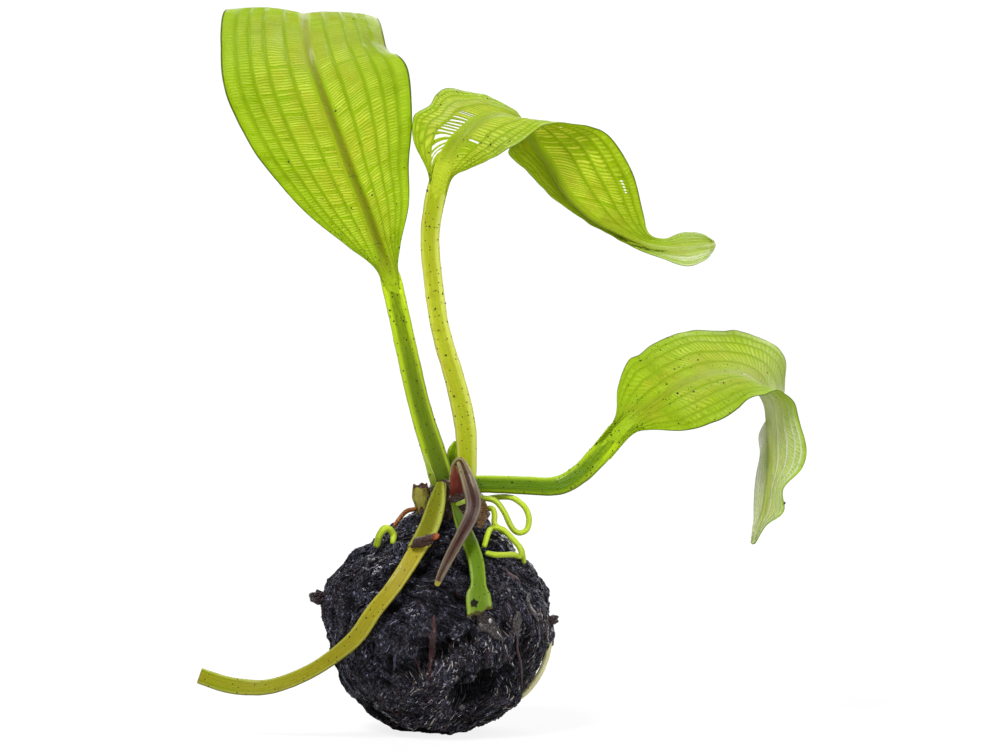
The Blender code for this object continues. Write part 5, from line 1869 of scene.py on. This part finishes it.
CROWN_GROWTHS = (
    Growth(
        "yellow_cut_stalk",
        Strand(
            path=(
                (1.0, -3.4, 54.0), (0.3, -7.1, 50.9), (-1.2, -12.4, 46.3), (-4.2, -19.0, 41.3),
                (-8.7, -22.8, 34.5), (-13.3, -23.1, 28.7), (-17.1, -21.6, 23.1),
                (-22.6, -18.6, 18.1), (-28.5, -16.2, 14.3), (-35.2, -14.4, 11.6),
                (-40.4, -13.2, 11.1), (-45.5, -12.5, 11.7), (-51.1, -12.0, 13.5),
            ),
            widths=(2.4, 3.4, 4.0, 3.8, 3.5, 3.6, 3.7, 3.3, 3.2, 3.3, 3.5, 3.6, 3.5),
            depths=(1.6, 1.7, 1.7, 1.6, 1.6, 1.6, 1.6, 1.7, 1.8, 1.9, 1.9, 1.9, 1.8),
            face=(-0.15, -1, 0.35), channel=0.3, rings=260, end=End.CUT,
        ),
        OLD_YELLOW, "old_stalk",
    ),
    Growth(
        "green_cut_stalk",
        Strand(
            path=(
                (3.6, -5.4, 50.2), (5.0, -10.6, 47.2), (6.8, -14.9, 43.6), (8.4, -18.8, 39.6),
                (9.0, -21.4, 36.0), (9.1, -22.3, 34.2), (9.1, -23.0, 32.6), (9.2, -23.8, 30.8),
                (9.4, -24.3, 28.9),
            ),
            widths=(1.0, 2.6, 3.5, 3.5, 3.4, 3.6, 5.1, 5.5, 5.7),
            depths=(0.9, 1.4, 1.5, 1.4, 1.4, 1.3, 1.1, 1.0, 0.9), face=(0.15, -1, 0.45),
            channel=0.2, cut_slope=0.3, torn=0.18, end=End.CUT,
        ),
        CUT_GREEN, "stalk",
    ),
    Growth(
        "purple_young_leaf",
        Strand(
            path=(
                (3.3, -1.5, 54.0), (3.8, -1.9, 57.6), (5.0, -3.4, 59.3), (6.3, -6.2, 56.8),
                (7.5, -8.8, 53.4), (8.0, -11.8, 50.6), (7.2, -15.8, 47.9), (5.2, -20.0, 44.4),
                (2.9, -23.2, 40.4), (1.1, -25.2, 36.8), (0.3, -25.8, 34.9),
            ),
            widths=(1.6, 1.8, 2.0, 2.9, 3.5, 3.4, 3.1, 2.7, 2.3, 1.8, 1.2),
            depths=(0.9, 0.9, 1.2, 1.5, 1.6, 1.6, 1.5, 1.4, 1.3, 1.1, 0.8), face=(0.1, -1, 0.4),
            channel=0.75, rings=220,
        ),
        YOUNG_PURPLE, "young_leaf",
    ),
    Growth(
        "red_bud",
        Strand(
            path=((4.4, -4.2, 51.8), (4.3, -4.5, 54.0), (4.0, -4.4, 56.2), (3.9, -4.2, 58.0)),
            widths=(3.2, 3.0, 2.0, 0.8), depths=(1.8, 1.8, 1.4, 0.6), rings=80,
        ),
        BUD_RED, "bud",
    ),
    Growth(
        "green_shoot",
        Strand(
            path=((3.4, 5.9, 52.0), (3.2, 6.1, 56.5), (3.3, 6.1, 60.5), (3.8, 6.0, 62.6)),
            widths=(2.4, 2.6, 2.2, 0.8), depths=(1.8, 1.8, 1.5, 0.7), rings=80,
        ),
        STALK_DEEP, "stalk",
    ),
    Growth(
        "old_stalk_stub",
        Strand(
            path=((-2.7, -1.4, 47.6), (-3.3, -1.5, 50.3), (-3.6, -1.5, 52.6), (-3.7, -1.5, 53.7)),
            widths=(3.4, 3.8, 3.7, 3.2), depths=(2.6, 2.8, 2.7, 2.2), face=(-0.4, -1, 0),
            channel=0.2, rings=90, wobble=0.14, torn=0.4, end=End.CUT,
        ),
        STUB_OLIVE, "old_stalk",
    ),
    Growth(
        "brown_husk",
        Strand(
            path=((8.4, -2.9, 51.0), (9.6, -4.9, 50.2), (9.9, -6.9, 47.9), (9.2, -8.9, 45.6)),
            widths=(1.8, 2.6, 2.4, 1.2), depths=(0.8, 1.0, 1.0, 0.7), face=(0.5, -1, 0.3),
            channel=0.5, rings=90, wobble=0.14,
        ),
        HUSK_BROWN, "husk",
    ),
    Growth(
        "orange_rootlet",
        Strand(
            path=((-4.6, -3.4, 48.9), (-6.5, -4.0, 48.5), (-7.9, -4.8, 47.2), (-9.2, -5.6, 45.4)),
            widths=(1.0, 1.0, 1.0, 0.8), depths=(1.0, 1.0, 1.0, 0.8), face=ROOT_FACE, rings=80,
            sides=24, wobble=0.1,
        ),
        ROOTLET_ORANGE, "husk",
    ),
    root(
        "root_loop",
        (
            (9.2, -1.4, 51.2), (12.6, -2.8, 50.6), (14.6, -4.4, 48.3), (15.9, -4.8, 45.6),
            (17.1, -4.6, 44.1), (18.4, -4.2, 43.8), (19.6, -3.8, 44.6), (20.0, -3.4, 46.7),
            (19.3, -3.0, 48.9), (17.9, -2.2, 50.3), (16.0, -1.2, 51.2), (12.9, 0.4, 51.1),
            (9.7, 1.6, 50.5),
        ),
    ),
    root(
        "root_bent",
        (
            (9.4, -2.8, 48.4), (11.8, -4.6, 49.1), (12.5, -5.9, 48.0), (12.5, -7.4, 46.2),
            (13.5, -8.6, 45.1), (15.3, -9.4, 44.0), (17.1, -9.6, 42.2), (18.2, -9.2, 40.8),
            (18.6, -8.6, 39.3), (18.9, -8.0, 37.9),
        ),
    ),
    root(
        "root_level",
        (
            (11.1, -17.1, 40.6), (12.7, -16.4, 40.2), (14.8, -14.4, 40.0), (16.6, -12.0, 39.8),
            (17.7, -10.6, 39.2),
        ),
    ),
    root(
        "root_short",
        ((10.4, -15.7, 42.2), (10.9, -13.9, 43.9), (11.4, -11.8, 45.0), (12.0, -9.7, 45.3)),
    ),
    root(
        "root_over_skin",
        (
            (12.0, -9.8, 45.3), (13.0, -10.6, 45.5), (14.6, -10.8, 44.9), (16.3, -10.8, 43.2),
            (17.6, -10.8, 41.7), (18.3, -10.7, 40.3), (18.0, -10.7, 39.2),
        ),
    )._replace(dresses=False),
    root(
        "root_curl",
        (
            (-12.9, -11.6, 42.0), (-12.2, -12.6, 44.2), (-11.2, -12.6, 45.5), (-10.1, -12.2, 45.3),
            (-9.3, -11.7, 44.0), (-9.4, -12.4, 42.6),
        ),
        1.5,
    ),
    root(
        "pale_side_root",
        (
            (24.7, -2.2, 22.0), (24.1, -3.0, 17.6), (22.6, -3.4, 13.4), (20.2, -3.6, 9.8),
            (18.2, -3.6, 7.8),
        ),
        1.3,
    )._replace(finish=ROOT_CREAM),
    Growth(
        "sheath_of_yellow_stalk",
        Strand(
            path=(
                (0.7, -3.6, 54.2), (0.1, -7.4, 51.1), (-1.2, -12.5, 46.8), (-2.8, -16.6, 43.6),
                (-3.7, -18.3, 42.2),
            ),
            widths=(1.9, 3.7, 4.5, 4.5, 4.4), depths=(1.5, 1.8, 1.9, 1.9, 1.8),
            face=(-0.15, -1, 0.35), channel=0.2, rings=120, cut_slope=0.6, torn=0.15, end=End.CUT,
        ),
        SHEATH_OLIVE, "old_stalk", dresses=False,
    ),
    Growth(
        "sheath_of_left_leaf",
        Strand(
            path=((-0.6, 0.3, 53.6), (-1.3, 0.2, 56.0), (-2.2, 0.4, 58.6), (-3.0, 1.0, 60.6)),
            widths=(1.4, 1.4, 1.0, 0.4), depths=(0.5, 0.4, 0.35, 0.25), channel=0.3, rings=70,
            sides=24, wobble=0.12, end=End.POINT,
        ),
        MEMBRANE, "stalk", dresses=False,
    ),
    Growth(
        "sheath_of_buds",
        Strand(
            path=((4.4, -6.4, 50.2), (6.2, -6.6, 50.9), (8.0, -5.6, 51.6), (9.4, -4.0, 51.8)),
            widths=(1.0, 1.3, 1.1, 0.5), depths=(0.35, 0.35, 0.3, 0.25), face=(0, -1, 0.6),
            rings=70, sides=24, wobble=0.15, end=End.POINT,
        ),
        MEMBRANE, "stalk", dresses=False,
    ),
)

BALL_LUMPS = (
    Lump((0.0, 0.0, -1.0), 0.35, 9.0),
    Lump((-0.96, 0.0, 0.28), 1.4, 5.0),
    Lump((-0.62, -0.1, 0.78), -2.0, 9.0),
    Lump((-0.86, -0.3, -0.4), -0.5, 8.0),
    Lump((1.0, -0.1, 0.05), 0.7, 7.0),
    Lump((0.42, -0.1, -0.9), -0.9, 6.0),
    Lump((0.8, 0.1, 0.6), -1.3, 8.0),
    Lump((0.32, -0.75, -0.58), -2.6, 3.6),
    Lump((0.02, -0.9, -0.1), -0.8, 3.4),
    Lump((-0.2, -0.85, -0.6), 0.9, 6.0),
    Lump((0.6, -0.75, -0.1), 0.8, 5.0),
    Lump((-0.5, 0.8, 0.1), 1.0, 8.0),
    Lump((0.4, 0.9, -0.3), -1.0, 6.0),
    Lump((0.1, 0.7, 0.6), 0.8, 7.0),
    Lump((-0.3, 0.7, -0.7), -0.8, 6.0),
)
# The deep hollow low on the front, in four parts, and four gaps above it.
BALL_DENTS = (
    Lump((4.6, -18.5, -12.9), -4.5, 2.0),
    Lump((7.8, -17.8, -13.9), -5.0, 2.2),
    Lump((10.9, -16.7, -12.4), -4.5, 2.0),
    Lump((10.6, -19.0, -9.6), -4.0, 1.7),
    Lump((-2.0, -23.0, -6.5), -2.2, 1.5),
    Lump((1.5, -23.6, -3.4), -2.6, 1.6),
    Lump((7.0, -23.0, -0.6), -1.8, 1.3),
    Lump((14.8, -19.0, 1.6), -2.0, 1.3),
)

BARK = {
    "bark_chip": Chip(
        ((-3.1, -1.4), (-2.0, 1.0), (0.0, 1.2), (2.3, 1.9), (3.0, 1.2), (1.6, -0.4), (-0.6, -1.3)),
        middle=(-2.3, -20.3, 43.6), first_axis=(1, 0.12, 0.05), second_axis=(0, -0.45, 1), thickness=1.0,
    ),
    "bark_flake_left": Chip(
        ((-1.6, -1.2), (-1.9, 0.4), (-0.6, 1.5), (1.4, 1.2), (1.7, -0.9), (0.2, -1.7)),
        middle=(-25.8, -1.0, 29.4), first_axis=(1, 0.2, -0.2), second_axis=(0.2, 0.3, 1), thickness=1.1,
    ),
    "bark_flake_right": Chip(
        ((-0.9, -1.1), (-1.0, 0.8), (0.1, 1.2), (1.1, 0.5), (1.0, -0.6), (0.2, -1.0)),
        middle=(25.35, -2.4, 24.6), first_axis=(1, -0.1, 0.15), second_axis=(-0.15, 0.2, 1),
        thickness=1.0,
    ),
}

BARK_FINISHES = {
    "bark_chip": BARK_BROWN,
    "bark_flake_left": BARK_BLACK,
    "bark_flake_right": BARK_BLACK,
}

STRIPS = (
    Strip("litter_strip", ((-0.4, 27.5), (-0.7, 23.5), (-1.1, 19.0), (-1.4, 15.0)), 1.7, 1.0, MAROON),
    Strip(
        "litter_flake_broad",
        ((9.2, 28.4), (10.2, 26.6), (11.6, 24.6), (13.0, 22.8)), 3.8, 0.8, FLAKE_GREY,
    ),
    Strip(
        "litter_flake_fan",
        ((17.2, 27.4), (17.0, 26.2), (16.8, 24.6), (16.7, 22.8)), 2.6, 0.8, FLAKE_GREY,
    ),
    Strip("litter_thread", ((16.7, 23.0), (17.4, 20.0), (17.9, 16.0), (17.6, 11.5)), 0.8, 0.6, MAROON),
    Strip(
        "litter_flake_right",
        ((19.2, 31.0), (19.4, 29.0), (19.8, 27.0), (20.2, 25.4)), 1.3, 0.7, FLAKE_GREY,
    ),
    Strip("litter_streak", ((14.4, 36.4), (15.6, 35.6), (17.0, 34.6), (18.2, 33.6)), 1.2, 0.5, MAROON),
)

FIBRES = (
    FibreKind(3300, (1.2, 3.6), (0.06, 0.14), 0.15, 0.9),
    FibreKind(3300, (0.9, 2.4), (0.06, 0.12), 0.2, 2.0),
    FibreKind(500, (2.5, 7.0), (0.12, 0.22), 0.4, 0.9, 2.2),
    FibreKind(3300, (1.0, 2.8), (0.05, 0.09), 0.2, 0.8, below=-0.4, away=(-0.45, 0.3, 0.84)),
)
FIBRE_FINISHES = (
    FibreFinish("fibre_smooth", brown_from=0.8, pale_from=0.83),
    FibreFinish("fibre_curly", brown_from=0.86, pale_from=0.78),
    FibreFinish("fibre_coarse", brown_from=0.7),
    FibreFinish(
        "fibre_pale",
        dark=(54, 46, 50), brown=(112, 90, 82), pale=(216, 206, 198), brown_from=0.4,
        pale_from=0.56,
    ),
)


def main() -> None:
    """Builds the plant from the ground up, then the studio round it."""
    logging.basicConfig(level=logging.INFO, format="%(message)s")
    ball = PeatBall(BALL_LUMPS, BALL_DENTS, FIBRES)
    parts = (
        Peat(ball, PEAT_WET, FIBRE_FINISHES, BARK, BARK_FINISHES, STRIPS),
        Crown(Tuber(), TUBER_BROWN, CROWN_GROWTHS),
        Leaf("left_leaf", LEFT_STALK, LEFT_BLADE, STALK_GREEN, LEFT_LACE, DIRT),
        Leaf("middle_leaf", MIDDLE_STALK, MIDDLE_BLADE, STALK_OLIVE, MIDDLE_LACE, DIRT),
        Leaf("right_leaf", RIGHT_STALK, RIGHT_BLADE, STALK_DEEP, RIGHT_LACE, DIRT, RIGHT_SPOTS),
        Studio(),
    )
    for part in parts:
        part.build()


if __name__ == "__main__":
    main()
